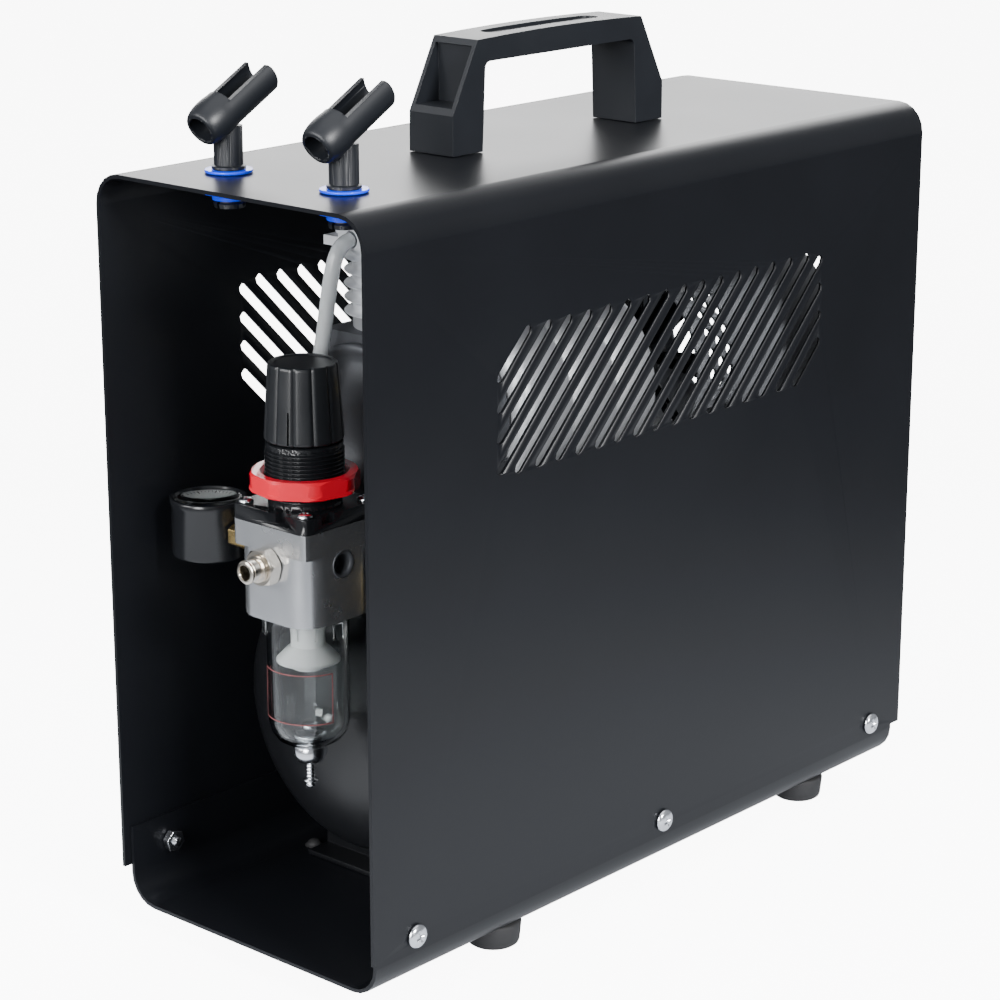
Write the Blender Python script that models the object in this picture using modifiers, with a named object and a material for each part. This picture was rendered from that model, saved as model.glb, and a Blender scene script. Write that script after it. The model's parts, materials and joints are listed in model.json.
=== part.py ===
"""Airbrush compressor in a folded sheet-metal case.

An inverted-U cover stands over a shallow base tray. Between them sit a horizontal air
tank, an oil-less piston pump driven by a motor along the case, and a filter-regulator
that looks out of the open front. A carrying handle and two airbrush holders are on top.

The case runs along Y with its open front at -Y. Heights are measured from the underside
of the base tray, and one empty lifts everything by the height of the rubber feet.
"""
import math

import bmesh
import bpy
from mathutils import Matrix, Vector

MM = 0.001


def mm(*values):
    """Millimetres to metres, one number or a tuple."""
    scaled = tuple(value * MM for value in values)
    return scaled if len(scaled) > 1 else scaled[0]


# Driving dimensions ---------------------------------------------------------------------
CASE_LENGTH = mm(330)
CASE_WIDTH = mm(135)
CASE_HEIGHT = mm(286)
SHEET = mm(1.5)
FOLD_RADIUS = mm(12)
COVER_BOTTOM = mm(15)
TRAY_FLANGE = mm(31)
TRAY_SETBACK = mm(3)
GAP = mm(0.3)

FOOT_HEIGHT = mm(10)
FOOT_PLACES = [mm(x, y) for y in (-80, 117) for x in (-48.5, 48.5)]
SCREW_Y = mm(-143, 0, 143)
SCREW_Z = mm(20)

SLOT_RADIUS = mm(2.1)
SLOT_PITCH = mm(11.2)
SLOT_COUNT = 20
SLOT_FIRST = mm(315.7)            # height minus Y along the first slot's centre line
SLOT_Y = mm(-97, 95)
SLOT_Z = mm(183.6, 233.9)

HANDLE_CENTRE_Y = mm(1.5)
HANDLE_HALF = mm(61.5)
HANDLE_WIDTH = mm(22)
HANDLE_HEIGHT = mm(41.7)
HANDLE_LEG = mm(16.5)
HANDLE_BAR = mm(8.5)

HOLDER_X = mm(29)
HOLDER_Y = mm(-135.2)
HOLDER_TILT = math.radians(29)
HOLDER_RADIUS = mm(7.5)
STEM_RADIUS = mm(5.3)
BUSH_RADIUS = mm(6.3)

REG_X, REG_Y = mm(4, -132.5)
REG_HALF = mm(19)
REG_PORT_Z = mm(149)
NECK_RADIUS = mm(14.6)
BOWL_RADIUS = mm(15.4)
GAUGE_X = mm(-47.8)
GAUGE_RADIUS = mm(14.7)

TANK_RADIUS = mm(55)
TANK_Z = mm(78)
TANK_Y = mm(-103, 108)
TANK_WALL = mm(1.8)
DOME = mm(12)

PUMP_Z = mm(187)
CRANKCASE_RADIUS = mm(34)
CYLINDER_Y = mm(-76)
THROW = mm(4)                     # half of the piston's stroke
MOTOR_RADIUS = mm(42)
MOTOR_Y = mm(-53, 26)
COWL_RADIUS = mm(43)
COWL_Y = mm(50, 138)
COWL_REAR_RADIUS = mm(47)
HEAD_HALF = mm(18, 23)
FIN_RADIUS = mm(21.8)
SHAFT_RADIUS = mm(4)


# Helpers --------------------------------------------------------------------------------
def clear_scene():
    for obj in list(bpy.data.objects):
        bpy.data.objects.remove(obj, do_unlink=True)


def new_collection(name):
    group = bpy.data.collections.new(name)
    bpy.context.scene.collection.children.link(group)
    return group


clear_scene()
PARTS = new_collection("airbrush_compressor")
CUTTERS = new_collection("cutters")
BASE = bpy.data.objects.new("case_frame", None)
BASE.location.z = FOOT_HEIGHT
PARTS.objects.link(BASE)

ALONG_X = Matrix(((0, 0, 1, 0), (1, 0, 0, 0), (0, 1, 0, 0), (0, 0, 0, 1)))
ALONG_Y = Matrix(((1, 0, 0, 0), (0, 0, -1, 0), (0, 1, 0, 0), (0, 0, 0, 1)))
ALONG_Z = Matrix.Identity(4)


def paint(name, colour, roughness=0.5, metallic=0.0, alpha=1.0):
    look = bpy.data.materials.new(name)
    look.use_nodes = True
    shader = look.node_tree.nodes["Principled BSDF"]
    shader.inputs["Base Color"].default_value = (*colour, 1)
    shader.inputs["Roughness"].default_value = roughness
    shader.inputs["Metallic"].default_value = metallic
    shader.inputs["Alpha"].default_value = alpha
    return look


def place(name, mesh, look=None, matrix=ALONG_Z, group=None):
    """A mesh as an object under the case's empty; cutters have no look."""
    obj = bpy.data.objects.new(name, mesh)
    (group or PARTS).objects.link(obj)
    obj.parent = BASE
    obj.matrix_local = matrix
    if look:
        mesh.materials.clear()
        mesh.materials.append(look)
    else:
        obj.hide_render = True
        obj.display_type = "WIRE"
    return obj


def evaluated_mesh(obj):
    bpy.context.view_layer.update()
    graph = bpy.context.evaluated_depsgraph_get()
    return bpy.data.meshes.new_from_object(obj.evaluated_get(graph))


def weld(mesh):
    """Joins the loose caps and seams, and turns every face outward."""
    work = bmesh.new()
    work.from_mesh(mesh)
    bmesh.ops.remove_doubles(work, verts=work.verts, dist=1e-6)
    bmesh.ops.recalc_face_normals(work, faces=work.faces)
    work.to_mesh(mesh)
    work.free()
    return mesh


def curve_mesh(curve):
    """The welded mesh of a curve, whose temporary object is removed again."""
    holder = bpy.data.objects.new("outline", curve)
    CUTTERS.objects.link(holder)
    mesh = weld(evaluated_mesh(holder))
    bpy.data.objects.remove(holder)
    return mesh


def slab(outlines, thickness):
    """A flat outline, with any further outlines as holes or neighbours, given thickness."""
    curve = bpy.data.curves.new("slab", "CURVE")
    curve.dimensions = "2D"
    curve.fill_mode = "BOTH"
    curve.extrude = thickness / 2
    for outline in outlines:
        spline = curve.splines.new("POLY")
        spline.points.add(len(outline) - 1)
        for point, (u, v) in zip(spline.points, outline):
            point.co = (u, v, 0, 1)
        spline.use_cyclic_u = True
    return curve_mesh(curve)


def tube(route, radius, sides=8):
    """A round bar or hose along a list of points."""
    curve = bpy.data.curves.new("tube", "CURVE")
    curve.dimensions = "3D"
    curve.bevel_depth = radius
    curve.bevel_resolution = (sides - 4) // 2
    curve.use_fill_caps = True
    spline = curve.splines.new("POLY")
    spline.points.add(len(route) - 1)
    for point, place_at in zip(spline.points, route):
        point.co = (*place_at, 1)
    return curve_mesh(curve)


def arc(centre, radius, start, end, steps):
    """Points on an arc, angles in degrees."""
    points = []
    for i in range(steps + 1):
        angle = math.radians(start + (end - start) * i / steps)
        points.append((centre[0] + radius * math.cos(angle), centre[1] + radius * math.sin(angle)))
    return points


def circle(centre, radius, steps=20):
    return arc(centre, radius, 0, 360, steps)[:-1]


def rounded_box(centre, half_u, half_v, radius, steps=3):
    points = []
    for corner, (su, sv) in enumerate(((1, 1), (-1, 1), (-1, -1), (1, -1))):
        middle = (centre[0] + su * (half_u - radius), centre[1] + sv * (half_v - radius))
        points += arc(middle, radius, 90 * corner, 90 * corner + 90, steps)
    return points


def capsule(start, end, radius, steps=3):
    """A round-ended slot between two points."""
    heading = math.degrees(math.atan2(end[1] - start[1], end[0] - start[0]))
    return (arc(end, radius, heading - 90, heading + 90, steps)
            + arc(start, radius, heading + 90, heading + 270, steps))


def block_mesh(size):
    work = bmesh.new()
    bmesh.ops.create_cube(work, size=1, matrix=Matrix.Diagonal((*size, 1)))
    mesh = bpy.data.meshes.new("block")
    work.to_mesh(mesh)
    work.free()
    return mesh


TWIST = Matrix.Rotation(math.radians(7), 4, "Z")     # keeps facets of joined rounds apart


def cylinder_mesh(radius, length, sides=20):
    work = bmesh.new()
    bmesh.ops.create_cone(work, cap_ends=True, segments=sides, radius1=radius, radius2=radius,
                          depth=length, matrix=TWIST)
    mesh = bpy.data.meshes.new("cylinder")
    work.to_mesh(mesh)
    work.free()
    return mesh


def turned_mesh(profile, steps=24, closed=False):
    """A profile of (radius, height) run down its outer side, turned about Z."""
    mesh = bpy.data.meshes.new("profile")
    edges = [(i, i + 1) for i in range(len(profile) - 1)]
    if closed:
        edges.append((len(profile) - 1, 0))
    mesh.from_pydata([(radius, 0, height) for radius, height in profile], edges, [])
    holder = bpy.data.objects.new("turning", mesh)
    CUTTERS.objects.link(holder)
    screw = holder.modifiers.new("turn", "SCREW")
    screw.steps = screw.render_steps = steps
    screw.use_merge_vertices = True
    screw.merge_threshold = 1e-6
    result = weld(evaluated_mesh(holder))
    bpy.data.objects.remove(holder)
    return result


def at(x=0.0, y=0.0, z=0.0, turn=ALONG_Z):
    return Matrix.Translation((x, y, z)) @ turn


def bevel(obj, width, segments=2, angle=40):
    soft = obj.modifiers.new("edges", "BEVEL")
    soft.width = width
    soft.segments = segments
    soft.limit_method = "ANGLE"
    soft.angle_limit = math.radians(angle)
    return obj


def boolean(obj, mesh, matrix, operation):
    tool = place(obj.name + "_tool", mesh, None, matrix, CUTTERS)
    change = obj.modifiers.new(operation.lower(), "BOOLEAN")
    change.operation = operation
    change.object = tool
    return obj


def cut(obj, mesh, matrix=ALONG_Z):
    return boolean(obj, mesh, matrix, "DIFFERENCE")


def join(obj, mesh, matrix=ALONG_Z):
    return boolean(obj, mesh, matrix, "UNION")


def smooth(obj, angle=35):
    obj.data.shade_smooth()
    obj.data.set_sharp_from_angle(angle=math.radians(angle))
    return obj


# Looks ----------------------------------------------------------------------------------
BLACK_COAT = paint("black_powder_coat", (0.02, 0.021, 0.024), 0.45)
BLACK_RUBBER = paint("black_rubber", (0.015, 0.015, 0.016), 0.8)
HANDLE_PLASTIC = paint("handle_plastic", (0.045, 0.048, 0.056), 0.5)
BLUE_BUSH = paint("blue_bush", (0.01, 0.04, 0.8), 0.15)
BRIGHT_ZINC = paint("bright_zinc", (0.75, 0.76, 0.78), 0.25, 1)
SATIN_CAST = paint("satin_cast", (0.66, 0.68, 0.71), 0.35, 1)
BLACK_PLASTIC = paint("black_plastic", (0.02, 0.022, 0.026), 0.3)
RED_PLASTIC = paint("red_plastic", (0.75, 0.01, 0.015), 0.2)
CLEAR_PLASTIC = paint("clear_plastic", (0.85, 0.9, 0.92), 0.05, 0, 0.3)
WHITE_PLASTIC = paint("white_plastic", (0.85, 0.85, 0.84), 0.4)
NICKEL = paint("nickel", (0.78, 0.73, 0.66), 0.2, 1)
BRASS = paint("brass", (0.8, 0.6, 0.28), 0.3, 1)
TANK_PAINT = paint("tank_paint", (0.03, 0.032, 0.038), 0.35)
MOTOR_ALUMINIUM = paint("motor_aluminium", (0.62, 0.64, 0.67), 0.4, 1)
PUMP_CAST = paint("pump_cast", (0.09, 0.095, 0.11), 0.5, 0.6)
SPRING_STEEL = paint("spring_steel", (0.5, 0.5, 0.52), 0.3, 1)


# Case -----------------------------------------------------------------------------------
def folded_outline(half_width, foot, top, radius, thickness):
    """The section of a sheet folded into an inverted U, feet at height foot."""
    outer = [(half_width, foot)]
    outer += arc((half_width - radius, top - radius), radius, 0, 90, 5)
    outer += arc((radius - half_width, top - radius), radius, 90, 180, 5)
    outer += [(-half_width, foot)]
    inner_radius = radius - thickness
    inner = [(thickness - half_width, foot)]
    inner += arc((radius - half_width, top - radius), inner_radius, 180, 90, 5)
    inner += arc((half_width - radius, top - radius), inner_radius, 90, 0, 5)
    inner += [(half_width - thickness, foot)]
    return outer + inner


def slot_ends(index):
    """Both ends of one 45 degree slot's centre line, trimmed to the vented area."""
    rise = SLOT_FIRST - SLOT_PITCH * index
    low_y = max(SLOT_Y[0], SLOT_Z[0] - rise)
    high_y = min(SLOT_Y[1], SLOT_Z[1] - rise)
    return (low_y, low_y + rise), (high_y, high_y + rise)


def slot_cutter(side):
    """All slots of one side; the left side is the right one turned half round."""
    outlines = []
    for index in range(SLOT_COUNT):
        start, end = slot_ends(index)
        outlines.append(capsule((side * start[0], start[1]), (side * end[0], end[1]), SLOT_RADIUS))
    return slab(outlines, 4 * SHEET)


def top_cover():
    section = folded_outline(CASE_WIDTH / 2, COVER_BOTTOM, CASE_HEIGHT, FOLD_RADIUS, SHEET)
    cover = place("top_cover", slab([section], CASE_LENGTH), BLACK_COAT, ALONG_Y)
    for side in (-1, 1):
        wall = at(side * CASE_WIDTH / 2, 0, 0, ALONG_X)
        cut(cover, slot_cutter(side), wall)
        holes = [circle((y, SCREW_Z), mm(2.3), 10) for y in SCREW_Y]
        cut(cover, slab(holes, 4 * SHEET), wall)
    holes = [circle((x, HOLDER_Y), BUSH_RADIUS + GAP, 16) for x in (-HOLDER_X, HOLDER_X)]
    holes += [circle((0, y), mm(2.0), 10) for y in handle_screw_places()]
    cut(cover, slab(holes, 4 * SHEET), at(z=CASE_HEIGHT))


def base_tray():
    half_width = CASE_WIDTH / 2 - SHEET - GAP
    section = [(x, -z) for x, z in folded_outline(half_width, -TRAY_FLANGE, 0, FOLD_RADIUS, SHEET)]
    length = CASE_LENGTH - 2 * TRAY_SETBACK
    tray = place("base_tray", slab([section], length), BLACK_COAT, ALONG_Y)
    for side in (-1, 1):
        holes = [circle((y, SCREW_Z), mm(2.3), 10) for y in SCREW_Y]
        cut(tray, slab(holes, 4 * SHEET), at(side * half_width, 0, 0, ALONG_X))
    holes = [circle(place_at, mm(2.8), 12) for place_at in FOOT_PLACES]
    cut(tray, slab(holes, 4 * SHEET))


def pan_screw_mesh(head_radius, head_height, shank_radius, shank_length, steps=12):
    """A cross-recess pan head screw, head underside at zero height, shank downward."""
    profile = [(0, head_height), (head_radius * 0.6, head_height * 0.9), (head_radius, head_height * 0.3),
               (head_radius, 0), (shank_radius, 0), (shank_radius, -shank_length), (0, -shank_length)]
    body = place("screw_blank", turned_mesh(profile, steps), BRIGHT_ZINC, group=CUTTERS)
    cross = [(head_radius * 0.95, head_radius * 0.2), (head_radius * 0.2, head_radius * 0.95)]
    for length, width in cross:
        cut(body, block_mesh((length, width, head_height * 0.9)), at(z=head_height))
    mesh = weld(evaluated_mesh(body))
    for modifier in body.modifiers:
        bpy.data.objects.remove(modifier.object)
    bpy.data.objects.remove(body)
    return mesh


def cover_screws():
    mesh = pan_screw_mesh(mm(4.6), mm(2.4), mm(2), mm(8))
    names = ("front", "middle", "rear")
    for side, side_name in ((-1, "left"), (1, "right")):
        for y, name in zip(SCREW_Y, names):
            outward = Matrix.Rotation(side * math.radians(90), 4, "Y")
            spot = at(side * (CASE_WIDTH / 2 + GAP), y, SCREW_Z, outward)
            smooth(place(f"cover_screw_{side_name}_{name}", mesh, BRIGHT_ZINC, spot))


def rubber_feet():
    """Tapered feet, pushed in from below with a stem that snaps over the sheet."""
    profile = [(0, mm(4.4)), (mm(2.2), mm(4.4)), (mm(3.9), SHEET + GAP), (mm(2.5), SHEET + GAP),
               (mm(2.5), -GAP), (mm(11), -GAP), (mm(10), mm(-9.2)), (mm(9.2), mm(-10)), (0, mm(-10))]
    mesh = turned_mesh(profile, 14)
    names = ("front_left", "front_right", "rear_left", "rear_right")
    for (x, y), name in zip(FOOT_PLACES, names):
        smooth(place(f"foot_{name}", mesh, BLACK_RUBBER, at(x, y)))


# Handle and holders ---------------------------------------------------------------------
def handle_screw_places():
    reach = HANDLE_HALF - HANDLE_LEG / 2
    return HANDLE_CENTRE_Y - reach, HANDLE_CENTRE_Y + reach


def carry_handle():
    """A bridge handle with upright legs whose outer faces lean in above a knee."""
    knee = mm(15)
    lean = mm(13.7)
    top = HANDLE_HEIGHT
    under = top - HANDLE_BAR
    inner = HANDLE_HALF - HANDLE_LEG
    right = [(inner, 0), (HANDLE_HALF, 0), (HANDLE_HALF, knee), (HANDLE_HALF - lean, top)]
    crown = [(u, top + mm(0.9) * (1 - (u / (HANDLE_HALF - lean)) ** 2)) for u in mm(32, 16, 0, -16, -32)]
    left = [(-u, v) for u, v in reversed(right)]
    arch = [*reversed(arc((inner - mm(4), under - mm(2.5)), mm(2.5), 0, 90, 3))]
    arch = [(-u, v) for u, v in reversed(arch)] + arch
    outline = right + crown + left + arch
    seat = at(0, HANDLE_CENTRE_Y, CASE_HEIGHT + GAP, ALONG_X)
    handle = place("carry_handle", slab([outline], HANDLE_WIDTH), HANDLE_PLASTIC, seat)
    bevel(handle, mm(1.1), 2, 25)
    for side in (-1, 1):
        pocket = [(side * (inner + mm(2.2)), mm(17.5)), (side * (HANDLE_HALF + mm(4)), mm(17.5)),
                  (side * (HANDLE_HALF + mm(4)), top + mm(2)), (side * (HANDLE_HALF - lean), top - mm(2.6)),
                  (side * (inner + mm(2.2)), top - mm(2.6))]
        cut(handle, slab([pocket], HANDLE_WIDTH - mm(3.6)), seat)
    groove = capsule((mm(-28), 0), (mm(28), 0), mm(4.2), 6)
    turned_groove = Matrix.Rotation(math.radians(90), 4, "Z")
    groove_floor = top - mm(0.4)
    cut(handle, slab([groove], mm(4)), at(0, HANDLE_CENTRE_Y, CASE_HEIGHT + GAP + groove_floor + mm(2),
                                          turned_groove))
    for y in handle_screw_places():
        cut(handle, cylinder_mesh(mm(1.9), mm(20), 10), at(0, y, CASE_HEIGHT + GAP))


def holder_cup_matrix():
    """Local Z points up along the tilted cup, from its low end."""
    tilt = Matrix.Rotation(-(math.radians(90) - HOLDER_TILT), 4, "X")
    low_end = Vector((0, mm(-13.2), mm(16.7)))
    return Matrix.Translation(low_end) @ tilt


def airbrush_holder(name, x):
    """A tilted cup, open along its top, on a stem that turns in its bush."""
    spot = at(x, HOLDER_Y, CASE_HEIGHT)
    cup_top = mm(35.4)
    cup = [(0, cup_top), (HOLDER_RADIUS, cup_top), (HOLDER_RADIUS, mm(8)), (mm(7.8), mm(4)),
           (mm(7), mm(0.7)), (mm(6.5), 0), (0, 0)]
    tilt = holder_cup_matrix()
    stem = [(0, mm(16)), (STEM_RADIUS, mm(16)), (STEM_RADIUS, mm(2.6)), (mm(6.2), mm(2.4)),
            (mm(6.2), mm(1.6)), (STEM_RADIUS, mm(1.6)), (STEM_RADIUS, mm(-10.2)), (mm(5.9), mm(-10.8)),
            (mm(5.5), mm(-12.4)), (0, mm(-12.4))]
    holder = place(name, turned_mesh(stem, 12), HANDLE_PLASTIC, spot)
    join(holder, turned_mesh(cup, 18), spot @ tilt)
    bore = [(0, mm(40)), (mm(6.1), mm(40)), (mm(6.1), mm(12.4)), (mm(4.7), mm(8)), (mm(4.7), mm(-2)),
            (0, mm(-2))]
    cut(holder, turned_mesh(bore, 14), spot @ tilt @ TWIST)
    mouth = mm(20, 12, 30)
    cut(holder, block_mesh(mouth), spot @ tilt @ at(0, mm(-10.2), mm(13.4 + 15)))
    cut(holder, block_mesh(mm(1.2, 14, 8)), spot @ at(0, 0, mm(-12)))
    smooth(holder)


def holder_bush(name, x):
    """The flanged bush that a holder's stem turns in."""
    bore = STEM_RADIUS + GAP
    flange = mm(8.75)
    profile = [(bore, mm(1.4)), (flange, mm(1.4)), (flange, GAP), (BUSH_RADIUS, GAP),
               (BUSH_RADIUS, mm(-9.6)), (bore, mm(-9.6))]
    smooth(place(name, turned_mesh(profile, 16, True), BLUE_BUSH, at(x, HOLDER_Y, CASE_HEIGHT)))


def bush_nut(name, x):
    height = mm(6)
    outlines = [circle((0, 0), mm(9.2), 6), circle((0, 0), BUSH_RADIUS + GAP, 16)]
    place(name, slab(outlines, height), BLUE_BUSH, at(x, HOLDER_Y, CASE_HEIGHT - SHEET - GAP - height / 2))


def airbrush_holders():
    for side, name in ((-1, "left"), (1, "right")):
        airbrush_holder(f"holder_{name}", side * HOLDER_X)
        holder_bush(f"holder_bush_{name}", side * HOLDER_X)
        bush_nut(f"bush_nut_{name}", side * HOLDER_X)


# Filter-regulator -----------------------------------------------------------------------
def regulator(z=0.0, turn=ALONG_Z):
    return at(REG_X, REG_Y, z, turn)


def regulator_body():
    """A die-cast block: a square head with ribs at its corners over a rounded body."""
    top, step, foot = mm(163.3, 153.8, 127.3)
    head = rounded_box((0, 0), REG_HALF, REG_HALF, mm(2.5), 2)
    body = place("regulator_body", slab([head], top - step), SATIN_CAST, regulator((top + step) / 2))
    lower = rounded_box((0, 0), REG_HALF - mm(0.15), REG_HALF - mm(0.15), mm(10), 4)
    join(body, slab([lower], step - foot + mm(2)), regulator((step + foot + mm(2)) / 2))
    side_port = [(0, mm(1)), (mm(5.4), mm(1)), (mm(5.4), mm(-0.8)), (mm(4.2), mm(-0.8)), (mm(4.2), mm(-9)),
                 (0, mm(-9))]
    port = turned_mesh(side_port, 12)
    for angle in (0, 90, 180, 270):
        around = Matrix.Rotation(math.radians(angle), 4, "Z")
        outward = around @ Matrix.Translation((REG_HALF, 0, 0)) @ Matrix.Rotation(math.radians(90), 4, "Y")
        cut(body, port, regulator(REG_PORT_Z) @ outward)
    cut(body, cylinder_mesh(BOWL_RADIUS + mm(1.6), mm(10), 20), regulator(foot))
    cut(body, cylinder_mesh(mm(15.4), mm(3.2), 20), regulator(top))
    cut(body, cylinder_mesh(mm(2), mm(40), 10), regulator(mm(145)))
    smooth(body)


def regulator_bonnet():
    """The black cap over the spring: a square plate and a threaded neck."""
    foot, plate_top, neck_top, boss_top = mm(163.6, 169.1, 192.4, 207)
    plate = rounded_box((0, 0), REG_HALF, REG_HALF, mm(2.5), 2)
    bonnet = place("regulator_bonnet", slab([plate], plate_top - foot), BLACK_PLASTIC,
                   regulator((foot + plate_top) / 2))
    neck = [(0, boss_top), (mm(10.6), boss_top), (mm(10.6), neck_top), (NECK_RADIUS, neck_top),
            (NECK_RADIUS, foot + mm(2)), (0, foot + mm(2))]
    join(bonnet, turned_mesh(neck, 24), regulator())
    bore = [(0, boss_top + mm(2)), (mm(3.2), boss_top + mm(2)), (mm(3.2), boss_top - mm(3)),
            (mm(8.8), boss_top - mm(3)), (mm(8.8), foot - mm(2)), (0, foot - mm(2))]
    cut(bonnet, turned_mesh(bore, 20), regulator())
    smooth(bonnet)


def regulator_ring():
    """The red ring nut on the neck, with eight flats."""
    low, high = mm(174.4, 181.2)
    outlines = [circle((0, 0), mm(20.9), 8), circle((0, 0), NECK_RADIUS + GAP, 24)]
    quarter = Matrix.Rotation(math.radians(11), 4, "Z")
    place("regulator_ring", slab(outlines, high - low), RED_PLASTIC, regulator((low + high) / 2, quarter))


def pressure_knob():
    """A tapered cap with a socket for the spindle's head; it lifts to unlock, and turns."""
    low, high = mm(192.9, 221.4)
    profile = [(0, high), (mm(11.9), high), (mm(12.8), high - mm(0.9)), (mm(14.6), low + mm(0.8)),
               (mm(14.2), low), (mm(11.2), low), (mm(11.2), mm(215)), (mm(6), mm(215)), (mm(6), mm(211)),
               (mm(4.3), mm(211)), (mm(4.3), mm(216)), (0, mm(216))]
    knob = place("pressure_knob", turned_mesh([(r, z - low) for r, z in profile], 20), BLACK_PLASTIC,
                 regulator(low))
    for index in range(6):
        around = Matrix.Rotation(math.radians(60 * index + 9), 4, "Z")
        lean = Matrix.Rotation(math.radians(-3.8), 4, "Y")
        cut(knob, cylinder_mesh(mm(1.1), mm(40), 6),
            regulator(low) @ around @ Matrix.Translation((mm(14.55), 0, mm(13))) @ lean)
    smooth(knob)


def adjusting_spindle():
    """The spindle that the knob turns: a round head above the bonnet and a foot on the spring."""
    foot = mm(201)
    profile = [(0, mm(11.6)), (mm(4), mm(11.6)), (mm(4), mm(6.4)), (mm(2.9), mm(6.4)), (mm(2.9), mm(2)),
               (mm(7.8), mm(2)), (mm(7.8), 0), (0, 0)]
    smooth(place("adjusting_spindle", turned_mesh(profile, 16), NICKEL, regulator(foot)))


def diaphragm():
    """The rubber disc clamped under the bonnet, which the spring presses."""
    place("diaphragm", cylinder_mesh(mm(15), mm(1.2), 20), BLACK_RUBBER, regulator(mm(162.4)))


def adjusting_spring():
    """The spring between the spindle's foot and the diaphragm."""
    turns, radius, wire = 4, mm(7), mm(0.8)
    sides = 8
    low, high = mm(164.2, 199.6)
    route = []
    for i in range(turns * sides + 1):
        angle = 2 * math.pi * i / sides
        height = low + (high - low) * i / (turns * sides)
        route.append((radius * math.cos(angle), radius * math.sin(angle), height))
    place("adjusting_spring", tube(route, wire, 4), SPRING_STEEL, regulator())


def filter_bowl():
    """The clear bowl below the body, with a hole for the drain."""
    wall = mm(1.8)
    top, shoulder, foot = mm(131.8, 126.9, 75)
    profile = [(BOWL_RADIUS - wall, top), (BOWL_RADIUS + mm(1.2), top), (BOWL_RADIUS + mm(1.2), shoulder),
               (BOWL_RADIUS, shoulder - mm(2)), (mm(15.2), mm(92))]
    profile += [(mm(5.2) + r, z) for r, z in arc((0, mm(85)), mm(10), 0, -90, 3)]
    profile += [(mm(4.6), foot), (mm(4.6), foot + wall)]
    profile += [(mm(5.2) + r, z) for r, z in arc((0, mm(85)), mm(10) - wall, -90, 0, 3)]
    smooth(place("filter_bowl", turned_mesh(profile, 20, True), CLEAR_PLASTIC, regulator()))


def filter_baffle():
    """The white filter element with its baffle disc, hanging in the bowl."""
    top, foot = mm(129, 105.4)
    profile = [(0, top), (mm(6.4), top), (mm(6.4), mm(114)), (mm(8.2), mm(113)), (mm(11.8), mm(109.6)),
               (mm(11.8), mm(108.4)), (mm(6), mm(108)), (mm(6), foot), (0, foot)]
    smooth(place("filter_baffle", turned_mesh(profile, 16), WHITE_PLASTIC, regulator()))


def bowl_drain():
    """The collar in the bowl's foot, and the pin that is pushed up to let water out."""
    bore = mm(2)
    top, foot = mm(79.4, 68.1)
    collar = [(bore, top), (mm(6.4), top), (mm(6.4), mm(77.6)), (mm(4.3), mm(77.6)), (mm(4.3), mm(74.7)),
              (mm(6.4), mm(74.7)), (mm(6.4), mm(71)), (mm(4.4), foot), (bore, foot)]
    smooth(place("drain_collar", turned_mesh(collar, 12, True), BRIGHT_ZINC, regulator()))
    pin_foot = mm(57.3)
    pin = [(0, mm(83)), (mm(3), mm(83)), (mm(3), mm(81.4)), (mm(1.6), mm(81.4)), (mm(1.6), mm(60.4)),
           (mm(2.2), mm(60)), (mm(2.2), mm(58)), (mm(1.5), pin_foot), (0, pin_foot)]
    smooth(place("drain_pin", turned_mesh([(r, z - pin_foot) for r, z in pin], 10), BRIGHT_ZINC,
                 regulator(pin_foot)))


def outlet_nipple():
    """The air outlet at the front, a hexagon and a threaded nipple with a bore."""
    face = REG_Y - REG_HALF - GAP
    hexagon = slab([circle((0, 0), mm(7.4), 6)], mm(5))
    spot = at(REG_X, face - mm(2.5), REG_PORT_Z, ALONG_Y)
    nipple = place("outlet_nipple", hexagon, NICKEL, spot)
    stem = [(0, mm(11.9)), (mm(3.9), mm(11.9)), (mm(4.3), mm(11.3)), (mm(4.3), mm(2)), (mm(3.9), mm(2)),
            (mm(3.9), mm(-6)), (0, mm(-6))]
    join(nipple, turned_mesh(stem, 16), at(REG_X, face, REG_PORT_Z, ALONG_Y))
    cut(nipple, cylinder_mesh(mm(2.4), mm(30), 12), at(REG_X, face, REG_PORT_Z, ALONG_Y))
    smooth(nipple)


# Pressure gauge -------------------------------------------------------------------------
def gauge(z=0.0, turn=ALONG_Z):
    return at(GAUGE_X, REG_Y, z, turn)


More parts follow.
